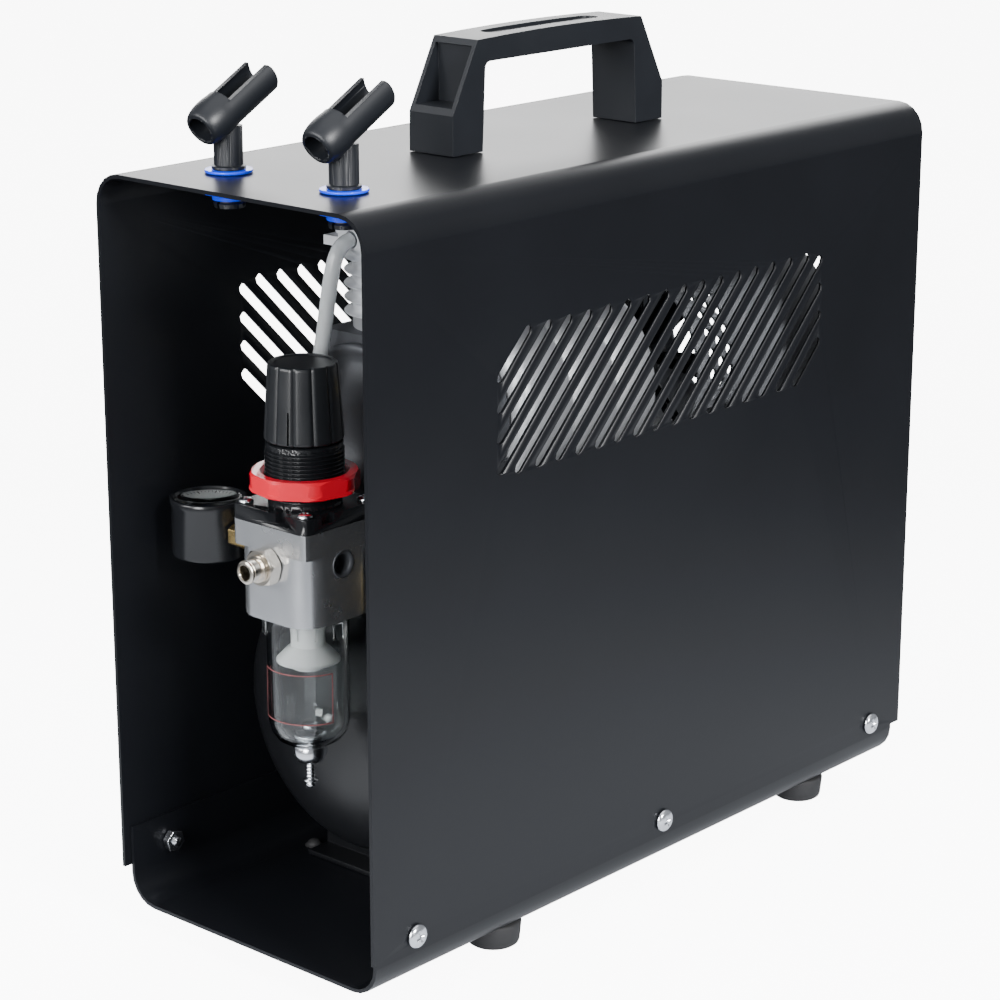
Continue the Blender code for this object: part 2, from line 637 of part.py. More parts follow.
def pressure_gauge():
    """A dial gauge that faces up, on a side connection from the regulator."""
    foot, top = mm(138.2, 160.8)
    case = [(0, foot + mm(1.5)), (mm(11.5), foot + mm(1.5)), (mm(11.5), top - mm(4.6)),
            (mm(13.4), top - mm(4.6)), (mm(13.4), top), (GAUGE_RADIUS, top), (GAUGE_RADIUS, top - mm(2.4)),
            (mm(14.3), top - mm(2.8)), (mm(14.3), foot + mm(1)), (mm(13.4), foot), (0, foot)]
    smooth(place("gauge_case", turned_mesh(case, 24), BLACK_PLASTIC, gauge()))
    dial_z = top - mm(3.9)
    place("gauge_dial", slab([circle((0, 0), mm(13.1), 24), circle((0, 0), mm(0.8), 8)], mm(0.6)),
          WHITE_PLASTIC, gauge(dial_z))
    needle = [(mm(-3.2), mm(0.7)), (mm(-3.2), mm(-0.7)), (mm(10.2), mm(-0.2)), (mm(10.2), mm(0.2))]
    hub_z = dial_z + mm(0.8)
    zero_mark = Matrix.Rotation(math.radians(225), 4, "Z")
    pointer = place("gauge_pointer", slab([needle], mm(0.4)), RED_PLASTIC, gauge(hub_z, zero_mark))
    join(pointer, cylinder_mesh(mm(1.5), mm(0.6), 12), gauge(hub_z))
    join(pointer, cylinder_mesh(mm(0.5), mm(3), 8), gauge(hub_z - mm(1.4)))
    smooth(place("gauge_lens", cylinder_mesh(mm(13.1), mm(1), 28), CLEAR_PLASTIC, gauge(top - mm(1.2))))
    length = REG_X - REG_HALF - GAUGE_X - mm(14.3) - 2 * GAP
    middle = (REG_X - REG_HALF + GAUGE_X + mm(14.3)) / 2
    link = place("gauge_link", slab([circle((0, 0), mm(5.2), 6)], length), BRASS,
                 at(middle, REG_Y, REG_PORT_Z, ALONG_X))
    join(link, cylinder_mesh(mm(3.9), mm(8), 14), at(REG_X - REG_HALF + mm(1), REG_Y, REG_PORT_Z, ALONG_X))


# Air tank -------------------------------------------------------------------------------
def tank_profile(radius, dome, front, rear):
    """Half of a tank's section with dished ends, from the front end over the top."""
    knuckle = 4
    points = []
    for i in range(knuckle + 1):
        angle = math.radians(90) * i / knuckle
        points.append((radius * math.sin(angle) ** 0.62, -front + dome * math.cos(angle)))
    mirrored = [(r, -rear - (z + front)) for r, z in reversed(points)]
    return points + mirrored


def air_tank():
    """A hollow steel tank with threaded openings for everything that is screwed into it."""
    front, rear = TANK_Y
    middle = (front + rear) / 2
    half = (rear - front) / 2
    outer = tank_profile(TANK_RADIUS, DOME, -half, half)
    inner = tank_profile(TANK_RADIUS - TANK_WALL, DOME - TANK_WALL, -half + mm(0.6), half - mm(0.6))
    spot = at(0, middle, TANK_Z, ALONG_Y)
    tank = place("air_tank", turned_mesh(outer, 24), TANK_PAINT, spot)
    cut(tank, turned_mesh(inner, 16), spot)
    for x, y in tank_top_ports():
        cut(tank, cylinder_mesh(mm(4.2), mm(36), 10), at(x, y, tank_top(x)))
    cut(tank, cylinder_mesh(mm(4.2), mm(30), 10), at(0, rear + DOME, TANK_Z, ALONG_Y))
    cut(tank, cylinder_mesh(mm(4.2), mm(20), 10), at(0, mm(-50), TANK_Z - TANK_RADIUS))
    smooth(tank)


def tank_top_ports():
    """Regulator feed, check valve and safety valve."""
    return (REG_X, mm(-93)), mm(-28, -88), mm(44, -88)


def tank_top(x):
    return TANK_Z + math.sqrt(TANK_RADIUS ** 2 - x ** 2)


def tank_brackets():
    """Saddles of bent plate that hold the tank above the tray."""
    half, half_top = mm(44, 36)
    low, shoulder, top = SHEET + GAP, mm(30), mm(52)
    for y, flange, name in ((mm(-76), -1, "front"), (mm(80), 1, "rear")):
        web = [(-half, low), (half, low), (half, shoulder), (half_top, top), (-half_top, top),
               (-half, shoulder)]
        bracket = place(f"tank_bracket_{name}", slab([web], mm(2.5)), TANK_PAINT, at(0, y, 0, ALONG_Y))
        join(bracket, block_mesh((2 * half, mm(12), mm(2))), at(0, y + flange * mm(6), low + mm(1)))
        cut(bracket, cylinder_mesh(TANK_RADIUS + mm(0.8), mm(30), 40), at(0, y, TANK_Z, ALONG_Y))


def tank_fittings():
    """The feed elbow, check valve, safety valve and drain cock."""
    top = tank_top(REG_X) + GAP
    feed_y = tank_top_ports()[0][1]
    nut_y = REG_Y + REG_HALF + GAP + mm(3)
    radius = mm(8)
    bend = arc((feed_y - radius, REG_PORT_Z - radius), radius, 90, 0, 5)
    route = [(REG_X, mm(-118), REG_PORT_Z)] + [(REG_X, y, z) for y, z in bend]
    elbow = place("feed_elbow", tube([*route, (REG_X, feed_y, top - mm(5))], mm(3.9), 12), BRASS)
    join(elbow, slab([circle((0, 0), mm(7.2), 6)], mm(6)), at(REG_X, nut_y, REG_PORT_Z, ALONG_Y))
    join(elbow, slab([circle((0, 0), mm(7.2), 6)], mm(4)), at(REG_X, feed_y, top + mm(2.4)))
    x, y = tank_top_ports()[1]
    seat = tank_top(x) + GAP
    valve = place("check_valve", slab([circle((0, 0), mm(6.5), 6)], mm(8)), BRASS, at(x, y, seat + mm(8)))
    join(valve, cylinder_mesh(mm(3.9), mm(10), 12), at(x, y, seat + mm(1)))
    join(valve, cylinder_mesh(mm(4.2), mm(5), 12), at(x, y, seat + mm(14)))
    x, y = tank_top_ports()[2]
    seat = tank_top(x) + mm(7.6)
    safety = place("safety_valve", slab([circle((0, 0), mm(6.5), 6)], mm(6)), BRASS, at(x, y, seat + mm(3)))
    join(safety, cylinder_mesh(mm(3.9), mm(14), 12), at(x, y, seat - mm(5)))
    join(safety, cylinder_mesh(mm(5), mm(9), 14), at(x, y, seat + mm(9)))
    cut(safety, cylinder_mesh(mm(1.8), mm(12), 10), at(x, y, seat + mm(13.6)))
    ring = place("safety_ring", cylinder_mesh(mm(1.5), mm(8.6), 10), BRIGHT_ZINC, at(x, y, seat + mm(12.3)))
    loop = [(mm(3.4) + r, z) for r, z in circle((0, 0), mm(0.9), 6)]
    join(ring, turned_mesh(loop, 14, True), at(x, y, seat + mm(19.6), ALONG_X))


def tank_drain():
    """The drain cock under the tank, with its small lever."""
    y = mm(-50)
    top = TANK_Z - TANK_RADIUS
    cock = place("drain_cock", slab([circle((0, 0), mm(6.5), 6)], mm(5)), BRASS, at(0, y, top - mm(3.4)))
    join(cock, cylinder_mesh(mm(3.9), mm(9), 12), at(0, y, top + mm(0.2)))
    join(cock, cylinder_mesh(mm(4.5), mm(8.6), 14), at(0, y, top - mm(9.2)))
    cut(cock, cylinder_mesh(mm(1.6), mm(12.6), 10), at(0, y - mm(1.2), top - mm(9.7), ALONG_Y))
    lever = place("drain_lever", cylinder_mesh(mm(1.3), mm(12), 10), BRIGHT_ZINC,
                  at(0, y - mm(1.9), top - mm(9.7), ALONG_Y))
    join(lever, block_mesh(mm(16, 1.6, 4)), at(0, y - mm(7.4), top - mm(9.7)))


# Pump -----------------------------------------------------------------------------------
def pump(y, turn=ALONG_Y):
    return at(0, y, PUMP_Z, turn)


def pump_mount():
    """A channel welded over the tank that carries the pump on a rubber pad."""
    top = mm(138.4)
    half, wall = mm(36), mm(2)
    foot = tank_top(half - wall) + mm(0.6)
    section = [(half, foot), (half, top), (-half, top), (-half, foot), (wall - half, foot),
               (wall - half, top - wall), (half - wall, top - wall), (half - wall, foot)]
    place("pump_mount", slab([section], mm(150)), TANK_PAINT, at(0, mm(-1), 0, ALONG_Y))
    place("rubber_pad", block_mesh(mm(70, 146, 5)), BLACK_RUBBER, at(0, mm(-1), top + GAP + mm(2.5)))


def crankcase():
    """The cast case round the crank, with two feet and a flat for the cylinder."""
    front, rear = mm(-98, -54)
    length = rear - front
    case = place("crankcase", cylinder_mesh(CRANKCASE_RADIUS, length, 24), PUMP_CAST,
                 pump((front + rear) / 2))
    join(case, block_mesh((mm(40), length, mm(20))), at(0, (front + rear) / 2, PUMP_Z + mm(27)))
    foot = mm(144)
    for side in (-1, 1):
        join(case, block_mesh((mm(14), length - mm(14), mm(30))),
             at(side * mm(28), (front + rear) / 2 + mm(7), foot + mm(15.2)))
    cut(case, cylinder_mesh(mm(28), length - mm(4), 20), pump(front + (length - mm(4)) / 2 - mm(0.1)))
    cut(case, cylinder_mesh(SHAFT_RADIUS + GAP, mm(20), 14), pump(rear))
    cut(case, cylinder_mesh(mm(17), mm(40), 24), at(0, CYLINDER_Y, PUMP_Z + mm(30)))
    smooth(case)
    cover = place("crankcase_cover", cylinder_mesh(CRANKCASE_RADIUS, mm(4), 24), PUMP_CAST,
                  pump(front - GAP - mm(2)))
    join(cover, cylinder_mesh(mm(27.2), mm(3), 20), pump(front + mm(0.4)))
    smooth(cover)


def cylinder_and_head():
    """A finned barrel with its head; the bore is open below into the crankcase."""
    low, high = mm(224.4, 255.6)
    bore, spigot, wall = mm(16, 16.6, 18.6)
    barrel = [(bore, high), (wall, high)]
    for index in range(3):
        fin = high - mm(6) - mm(8) * index
        barrel += [(wall, fin + mm(1.6)), (FIN_RADIUS, fin + mm(1.6)), (FIN_RADIUS, fin), (wall, fin)]
    barrel += [(wall, low), (spigot, low), (spigot, low - mm(4)), (bore, low - mm(4))]
    place("cylinder", turned_mesh(barrel, 18, True), MOTOR_ALUMINIUM, at(0, CYLINDER_Y))
    head_low, head_high = mm(255.9, 267)
    outline = rounded_box((0, 0), *HEAD_HALF, mm(3), 2)
    head = place("cylinder_head", slab([outline], head_high - head_low), MOTOR_ALUMINIUM,
                 at(0, CYLINDER_Y, (head_low + head_high) / 2))
    pitch = mm(6.6)
    for index in range(5):
        cut(head, block_mesh(mm(3, 60, 12)), at(pitch * (index - 2), CYLINDER_Y, head_high))
    cut(head, cylinder_mesh(mm(3.3), mm(14), 12),
        at(mm(-4), CYLINDER_Y - mm(20), head_low + mm(3.4), ALONG_Y))


def piston_and_crank():
    """The crank and its pin, and a piston whose rod ends in a yoke round the pin."""
    yoke_y = CYLINDER_Y
    yoke = capsule((0, 0), (0, 2 * THROW), mm(9.8), 6)
    window = capsule((0, 0), (0, 2 * THROW), mm(6.9), 6)
    rod = place("piston_rod", slab([yoke, window], mm(7)), MOTOR_ALUMINIUM, pump(yoke_y))
    join(rod, block_mesh(mm(7, 6.6, 36)), at(0, yoke_y, PUMP_Z + mm(16 + 18)))
    crown = [(0, mm(9)), (mm(15.6), mm(9)), (mm(15.6), 0), (0, 0)]
    join(rod, turned_mesh(crown, 28), at(0, CYLINDER_Y, PUMP_Z + mm(51)))
    web_front, web_rear = mm(-71, -60.5)
    crank = place("crankshaft", cylinder_mesh(mm(13), web_rear - web_front, 24), SPRING_STEEL,
                  pump((web_front + web_rear) / 2))
    join(crank, cylinder_mesh(mm(2.5), mm(14), 12), at(0, mm(-75), PUMP_Z + THROW, ALONG_Y))
    shaft_front, shaft_rear = web_front + mm(4), mm(66.4)
    join(crank, cylinder_mesh(SHAFT_RADIUS, shaft_rear - shaft_front, 16),
         pump((shaft_rear + shaft_front) / 2))


def motor():
    """The motor's aluminium can with rounded ends, drilled for the shaft."""
    front, rear = MOTOR_Y
    length = rear - front
    edge = mm(5)
    half = length / 2
    profile = [(SHAFT_RADIUS + GAP, half)]
    profile += arc((MOTOR_RADIUS - edge, half - edge), edge, 90, 0, 3)
    profile += arc((MOTOR_RADIUS - edge, edge - half), edge, 0, -90, 3)
    profile += [(SHAFT_RADIUS + GAP, -half)]
    can = place("motor_can", turned_mesh(profile, 24, True), MOTOR_ALUMINIUM, pump((front + rear) / 2))
    smooth(can)
    plate_y = rear + GAP + mm(3)
    cradle = place("motor_cradle", cylinder_mesh(mm(30), mm(6), 24), PUMP_CAST, pump(plate_y))
    join(cradle, block_mesh(mm(62, 22, 24)), at(0, plate_y + mm(8), mm(156.2)))
    cut(cradle, cylinder_mesh(SHAFT_RADIUS + GAP, mm(20), 16), pump(plate_y))


def cooling_fan():
    """A seven-bladed fan on the shaft behind the motor."""
    y = mm(64)
    fan = place("cooling_fan", cylinder_mesh(mm(11), mm(10), 20), BLACK_PLASTIC, pump(y))
    for index in range(7):
        around = Matrix.Rotation(math.radians(360 / 7 * index), 4, "Y")
        pitch = Matrix.Rotation(math.radians(32), 4, "Z")
        join(fan, block_mesh(mm(11, 1.6, 26)),
             pump(y, ALONG_Z) @ around @ Matrix.Translation((0, 0, mm(22))) @ pitch)
    cut(fan, cylinder_mesh(SHAFT_RADIUS + GAP, mm(16), 16), pump(y - mm(5)))


def fan_cowl():
    """The grey cowl round the fan: it flares behind a ring of air holes and is open at the rear."""
    front, rear = COWL_Y
    half = (rear - front) / 2
    neck, flare = mm(26, 34)
    wall = mm(2)
    outer = [(COWL_RADIUS, half), (COWL_RADIUS, half - neck), (COWL_REAR_RADIUS, half - flare),
             (COWL_REAR_RADIUS, -half)]
    inner = [(radius - wall, height) for radius, height in reversed(outer)]
    lip = [(COWL_REAR_RADIUS - mm(6), -half), (COWL_REAR_RADIUS - mm(6), wall - half),
           (COWL_REAR_RADIUS - wall, wall - half)]
    cowl = place("fan_cowl", turned_mesh(outer + lip + inner[1:], 24, True), PUMP_CAST, pump(front + half))
    for row, offset in ((mm(10), 0), (mm(19), 15)):
        for index in range(12):
            around = Matrix.Rotation(math.radians(30 * index + offset), 4, "Y")
            cut(cowl, cylinder_mesh(mm(3.6), mm(12), 6),
                pump(front + row, ALONG_Z) @ around @ Matrix.Translation((0, 0, COWL_RADIUS)))
    smooth(cowl)


def air_hose():
    """The clear hose from the pump's head down to the check valve on the tank."""
    x, y = tank_top_ports()[1]
    foot = tank_top(x) + mm(17.6)
    ends = [Vector(mm(-4, -99.5, 259.3)), Vector(mm(-4, -104.5, 258.6)), Vector(mm(-4.5, -108.2, 252)),
            Vector(mm(-7, -108.8, 235)), Vector(mm(-12, -108.6, 210)), Vector(mm(-22, -109, 184)),
            Vector(mm(-31, -106.5, 160)), Vector(mm(-30, -96, 147)), Vector((x, y, foot + mm(3)))]
    route = [*smooth_route(ends, 2), Vector((x, y, foot))]
    smooth(place("air_hose", tube(route, mm(2.9), 8), CLEAR_PLASTIC))


def smooth_route(points, steps):
    """A Catmull-Rom curve through the points."""
    route = []
    padded = [points[0], *points, points[-1]]
    for i in range(1, len(padded) - 2):
        before, start, end, after = padded[i - 1:i + 3]
        for step in range(steps):
            t = step / steps
            square = (2 * before - 5 * start + 4 * end - after) * t ** 2
            cube = (3 * start - before - 3 * end + after) * t ** 3
            route.append(0.5 * (2 * start + (end - before) * t + square + cube))
    route.append(points[-1])
    return route


# Switch ---------------------------------------------------------------------------------
def pressure_switch():
    """The pressure switch at the rear of the tank, with its rocker and an inlet gland."""
    y = mm(142)
    half_depth = mm(12)
    box = place("pressure_switch", slab([rounded_box((0, 0), mm(22), mm(24), mm(3), 2)], 2 * half_depth),
                BLACK_PLASTIC, at(0, y, TANK_Z, ALONG_Y))
    cut(box, block_mesh(mm(14, 16, 20)), at(mm(-8), y + half_depth, TANK_Z + mm(8)))
    gland = at(mm(9), y + half_depth, TANK_Z - mm(12), ALONG_Y)
    join(box, cylinder_mesh(mm(6.5), mm(16), 16), gland)
    cut(box, cylinder_mesh(mm(3.2), mm(26), 12), gland)
    rocker = [(mm(-8.6), mm(-2.5)), (mm(-8.6), mm(3.4)), (0, mm(1)), (mm(8.6), mm(0.6)), (mm(8.6), mm(-2.5)),
              (0, mm(-5))]
    tilt = Matrix(((0, 0, 1, 0), (0, 1, 0, 0), (-1, 0, 0, 0), (0, 0, 0, 1)))
    place("power_rocker", slab([rocker], mm(13)), RED_PLASTIC,
          at(mm(-8), y + half_depth - mm(1), TANK_Z + mm(8)) @ tilt)
    bore, collar = mm(3.9, 6)
    pipe = [(0, mm(9.5)), (bore, mm(9.5)), (bore, mm(4)), (collar, mm(4)), (collar, mm(-4)), (bore, mm(-4)),
            (bore, mm(-9.5)), (0, mm(-9.5))]
    join(box, turned_mesh(pipe, 14), at(0, mm(125), TANK_Z, ALONG_Y))


top_cover()
base_tray()
cover_screws()
rubber_feet()
carry_handle()
airbrush_holders()
regulator_body()
regulator_bonnet()
regulator_ring()
pressure_knob()
adjusting_spindle()
adjusting_spring()
diaphragm()
filter_bowl()
filter_baffle()
bowl_drain()
outlet_nipple()
pressure_gauge()
air_tank()
tank_brackets()
tank_fittings()
tank_drain()
pump_mount()
crankcase()
cylinder_and_head()
piston_and_crank()
motor()
cooling_fan()
fan_cowl()
air_hose()
pressure_switch()
bpy.context.view_layer.update()
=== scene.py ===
# %% [markdown]
# # An airbrush compressor in a folded steel case
# Two bent sheets make the case: a deep cover like an upside-down U, and a shallow tray
# under it. A tank, a pump and a motor sit inside, and a regulator with a water trap looks
# out of the open front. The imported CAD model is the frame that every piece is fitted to,
# so the first cell loads it and keeps the size of its box.

import json
import math

import bmesh
import bpy
from mathutils import Matrix, Vector


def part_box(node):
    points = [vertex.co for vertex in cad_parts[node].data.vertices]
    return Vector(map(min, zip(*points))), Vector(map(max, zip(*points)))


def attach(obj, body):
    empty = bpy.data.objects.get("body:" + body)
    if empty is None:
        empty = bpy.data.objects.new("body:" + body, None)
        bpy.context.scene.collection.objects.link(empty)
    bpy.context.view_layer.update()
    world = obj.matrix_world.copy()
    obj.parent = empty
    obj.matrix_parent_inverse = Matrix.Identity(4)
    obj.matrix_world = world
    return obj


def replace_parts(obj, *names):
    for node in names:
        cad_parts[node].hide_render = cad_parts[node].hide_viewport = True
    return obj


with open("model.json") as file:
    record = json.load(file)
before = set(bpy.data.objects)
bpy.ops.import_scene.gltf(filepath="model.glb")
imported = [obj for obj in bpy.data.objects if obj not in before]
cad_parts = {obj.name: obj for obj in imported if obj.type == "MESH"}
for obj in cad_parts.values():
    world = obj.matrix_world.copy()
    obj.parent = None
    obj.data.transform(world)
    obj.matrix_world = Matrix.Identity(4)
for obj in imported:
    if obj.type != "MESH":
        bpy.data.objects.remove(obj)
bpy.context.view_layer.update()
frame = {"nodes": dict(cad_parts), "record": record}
record = frame["record"]
BODY_OF = {node: body for body, nodes in record["behaviour"]["bodies"].items() for node in nodes}
SLOT_OF = {part["node"]: part["material_slot"] for part in record["subparts"]}

# %% [markdown]
# ## Camera and studio
# The case is seen from its front right corner and a little from above, with a long lens, so
# its edges stay nearly parallel. A long lens is a narrow angle, here about 20 degrees. The
# camera comes from a point and a direction, because a rotation made from those two can't
# drift when either is edited.

# %% Camera
LENS_MM = 103.8
camera_data = bpy.data.cameras.new("camera")
camera_data.lens = LENS_MM
camera_data.clip_end = 40
camera = bpy.data.objects.new("camera", camera_data)
camera.location = (0.7245, -0.8356, 0.4784)
back = Vector((0.6372, -0.7159, 0.2854))
camera.rotation_euler = back.to_track_quat("Z", "Y").to_euler()
bpy.context.scene.collection.objects.link(camera)
bpy.context.scene.camera = camera
print("camera", round(math.degrees(math.asin(back.z)), 1), "degrees above level")

# %% [markdown]
# Black sheet metal shows hardly any colour of its own: what reads as its shape is what it
# mirrors. So the studio is planned as a set of things to be mirrored: one long panel behind
# for the top, a small fill on the right and the paper at the feet for the side, and two soft
# lamps in front for the regulator. Area lamps are used because a rough surface smears them
# into even fades.

# %% Floor and lamps
def studio_lamp(name, place, target, size, power, colour=(1, 1, 1)):
    data = bpy.data.lights.new(name, "AREA")
    data.shape = "RECTANGLE"
    data.size, data.size_y = size
    data.energy = power
    data.color = colour
    lamp = bpy.data.objects.new(name, data)
    lamp.location = place
    away = Vector(place) - Vector(target)
    lamp.rotation_euler = away.to_track_quat("Z", "Y").to_euler()
    bpy.context.scene.collection.objects.link(lamp)
    return lamp


FLOOR_HALF = 9.0
bm = bmesh.new()
bmesh.ops.create_grid(bm, x_segments=1, y_segments=1, size=FLOOR_HALF)
floor_mesh = bpy.data.meshes.new("floor")
bm.to_mesh(floor_mesh)
bm.free()
floor = bpy.data.objects.new("floor", floor_mesh)
bpy.context.scene.collection.objects.link(floor)

studio_lamp("back_panel", (-1.35, 1.55, 0.98), (0, 0, 0.25), (2.3, 0.9), 40)
studio_lamp("key", (-0.75, -1.9, 1.15), (0, -0.1, 0.15), (0.9, 1.1), 30)
studio_lamp("side_fill", (1.7, -0.35, 1.05), (0.05, 0, 0.2), (0.5, 0.5), 60)
studio_lamp("front_fill", (0.35, -1.55, 0.6), (0, -0.14, 0.17), (0.6, 0.8), 27)
studio_lamp("overhead", (0.2, 0.1, 2.3), (0, 0, 0), (2.2, 2.2), 20)
world = bpy.data.worlds.new("studio")
world.use_nodes = True
sky = world.node_tree.nodes["Background"]
sky.inputs["Color"].default_value = (0.93, 0.96, 1.0, 1)
sky.inputs["Strength"].default_value = 0.4
bpy.context.scene.world = world

# %% [markdown]
# ## A small language for shaders
# Shader nodes are easier to read as sums than as wires. A Wire is the output of a node, and
# adding to it or multiplying it makes the Math node that does so. A Finish is one material:
# it makes nodes by type, and sets or links the sockets of its shader.

# %% Wires and finishes
class Wire:
    """A node's output. Every operator on it adds one Math node."""

    def __init__(self, finish, socket):
        self.finish = finish
        self.socket = socket

    def maths(self, operation, *values):
        return self.finish.node("Math", dict(enumerate(values)), operation=operation)

    def __add__(self, other):
        return self.maths("ADD", self, other)

    def __radd__(self, other):
        return self.maths("ADD", other, self)

    def __mul__(self, other):
        return self.maths("MULTIPLY", self, other)

    def __rmul__(self, other):
        return self.maths("MULTIPLY", other, self)


class Finish:
    """One named material, whose sockets take numbers, colours or wires."""

    def __init__(self, name):
        self.material = bpy.data.materials.new(name)
        self.material.use_nodes = True
        self.tree = self.material.node_tree
        self.shader = self.tree.nodes["Principled BSDF"]
        self.places = self.node("TexCoord", output="Object")

    def feed(self, node, inputs):
        for key, value in inputs.items():
            if isinstance(value, Wire):
                self.tree.links.new(value.socket, node.inputs[key])
            elif isinstance(value, tuple) and len(value) == 3 and node.inputs[key].type == "RGBA":
                node.inputs[key].default_value = (*value, 1)
            else:
                node.inputs[key].default_value = value

    def node(self, kind, inputs=None, output=0, stops=None, **settings):
        made = self.tree.nodes.new("ShaderNode" + kind)
        for key, value in settings.items():
            setattr(made, key, value)
        if stops:
            ramp = made.color_ramp
            while len(ramp.elements) < len(stops):
                ramp.elements.new(0.5)
            for element, (place, colour) in zip(ramp.elements, stops):
                element.position = place
                element.color = (*colour, 1)
        self.feed(made, inputs or {})
        return Wire(self, made.outputs[output])

    def shade(self, **sockets):
        self.feed(self.shader, {key.replace("_", " "): value for key, value in sockets.items()})
        return self

    def noise(self, scale, detail=2.0, at=None, **inputs):
        """A grain whose features are about one over scale metres wide, from 0 to 1."""
        places = {"Vector": at or self.places, "Scale": scale, "Detail": detail, **inputs}
        return self.node("TexNoise", places, output="Fac")

    def blend(self, factor, first, second):
        """A colour between two colours."""
        return self.node("Mix", {"Factor": factor, 6: first, 7: second}, output=2, data_type="RGBA")

    def stretch(self, scale, turn=(0, 0, 0)):
        """The piece's own places, squeezed so that a grain runs long in one direction."""
        return self.node("Mapping", {"Vector": self.places, "Scale": scale, "Rotation": turn})

    def relief(self, height, depth, strength=1.0):
        """Small hills, depth metres high where height is 1."""
        normal = self.node("Bump", {"Height": height, "Distance": depth, "Strength": strength})
        return self.shade(Normal=normal)


# %% [markdown]
# The floor is a white sheet that is lit from below, as on a light table, so that it stays
# white right up to the object. The lit sheet is for the eye alone: what the case mirrors is
# bright paper near its feet and, further out, paper painted dark, a painted shade that makes
# the side darker towards its top.

# %% Floor finish
paper = Finish("white_paper_floor")
fibre = paper.noise(220, 4)
reach = paper.node("VectorMath", {0: paper.places}, output="Value", operation="LENGTH")
# Painted shade: the floor's colour goes from pale paper to near black between these distances from the case,
# so the case's side mirrors dark at its top
SHADE_PAINT_START, SHADE_PAINT_END = 0.14, 0.62
painted_shade_far = paper.node("MapRange", {"Value": reach, "From Min": SHADE_PAINT_START, "From Max": SHADE_PAINT_END})
eye = paper.node("LightPath", output="Is Camera Ray")
paper.shade(Base_Color=paper.blend(painted_shade_far, (0.80, 0.83, 0.88), (0.05, 0.052, 0.056)),
            Roughness=fibre * 0.1 + 0.7,
            Emission_Color=paper.blend(eye, (0, 0, 0), (1, 1, 1)), Emission_Strength=9.0)
floor.data.materials.append(paper.material)
print("floor finish", paper.material.name)

# %% [markdown]
# ## Finishes
# Every finish has three layers of truth: a colour that wanders a little, a roughness that
# wanders with it, and a fine relief that breaks the highlights. Their sizes are those of
# the real surface: powder coat flows into bumps about a millimetre wide, cast metal keeps
# the grain of its mould, and moulded plastic a much finer one.

# %% Painted and coated metal
FINISH = {}


def wandering(name, dark, light, rough, drift, patch=35, metallic=0.0):
    """A finish whose colour and roughness drift over patches of one over patch metres."""
    finish = Finish(name)
    cloud = finish.noise(patch, 3)
    finish.shade(Base_Color=finish.blend(cloud, dark, light), Roughness=cloud * drift + rough,
                 Metallic=metallic)
    return finish


coat = wandering("black_powder_coat", (0.0045, 0.0050, 0.0066), (0.0070, 0.0078, 0.0100), 0.31, 0.06, 14)
orange_peel = coat.noise(620, 2) * 0.7 + coat.noise(1900, 1) * 0.3
coat.relief(orange_peel, 0.00003, 0.55)
coat.shade(IOR=1.33)
FINISH["black_powder_coat"] = coat

paint = wandering("tank_paint", (0.0045, 0.005, 0.006), (0.008, 0.0085, 0.010), 0.26, 0.08, 30)
paint.relief(paint.noise(350, 2), 0.00003, 0.5)
FINISH["tank_paint"] = paint

cowl_paint = wandering("cowl_grey", (0.20, 0.21, 0.23), (0.27, 0.28, 0.30), 0.40, 0.10, 45)
cowl_paint.relief(cowl_paint.noise(700, 2), 0.00003, 0.5)

cast = wandering("pump_cast", (0.055, 0.058, 0.066), (0.085, 0.09, 0.10), 0.42, 0.12, 60, 0.4)
cast.relief(cast.noise(1400, 3), 0.00008, 0.7)
FINISH["pump_cast"] = cast
print("coated metals", sorted(FINISH))

# %% Bare metals
die_cast = wandering("satin_cast", (0.62, 0.64, 0.67), (0.74, 0.76, 0.79), 0.21, 0.10, 90, 0.90)
die_cast.relief(die_cast.noise(1700, 3), 0.00004, 0.6)
FINISH["satin_cast"] = die_cast

drawn = Finish("motor_aluminium")
ring_marks = drawn.noise(60, 3, at=drawn.stretch((0.3, 60, 0.3)))
drawn.shade(Base_Color=drawn.blend(ring_marks, (0.74, 0.76, 0.79), (0.86, 0.88, 0.91)),
            Roughness=ring_marks * 0.14 + 0.46, Metallic=0.7)
drawn.relief(ring_marks, 0.00002, 0.5)
FINISH["motor_aluminium"] = drawn

zinc = wandering("bright_zinc", (0.62, 0.64, 0.68), (0.84, 0.86, 0.90), 0.16, 0.12, 400, 1.0)
zinc.relief(zinc.noise(2500, 2), 0.00001, 0.4)
FINISH["bright_zinc"] = zinc

yellow = wandering("yellow_zinc", (0.62, 0.47, 0.20), (0.80, 0.66, 0.33), 0.20, 0.15, 350, 1.0)
yellow.relief(yellow.noise(2500, 2), 0.00001, 0.4)
nickel = wandering("nickel", (0.66, 0.60, 0.52), (0.80, 0.75, 0.67), 0.14, 0.10, 300, 1.0)
nickel.relief(nickel.noise(120, 2, at=nickel.stretch((0.2, 40, 0.2))), 0.00001, 0.4)
FINISH["nickel"] = nickel

brass = wandering("brass", (0.60, 0.42, 0.16), (0.76, 0.58, 0.27), 0.20, 0.15, 250, 1.0)
brass.relief(brass.noise(1500, 2), 0.00001, 0.4)
FINISH["brass"] = brass

steel = wandering("spring_steel", (0.40, 0.41, 0.43), (0.55, 0.56, 0.58), 0.24, 0.12, 200, 1.0)
steel.relief(steel.noise(1800, 2), 0.00001, 0.4)
FINISH["spring_steel"] = steel
print("bare metals", sorted(FINISH))

# %% [markdown]
# Plastics differ in how their skin was made. The handle and the holders come from a mould
# with an etched grain, so they are matt and slate grey. The knob and the ring were polished
# in the mould, and mirror the lamps. The bowl is clear polycarbonate: light passes and
# bends, and only its thick edges look grey-green.

# %% Plastics and rubber
etched = wandering("handle_plastic", (0.0055, 0.0068, 0.0095), (0.0085, 0.0102, 0.0138), 0.38, 0.08, 50)
etched.relief(etched.noise(2600, 2), 0.00004, 0.55)
FINISH["handle_plastic"] = etched

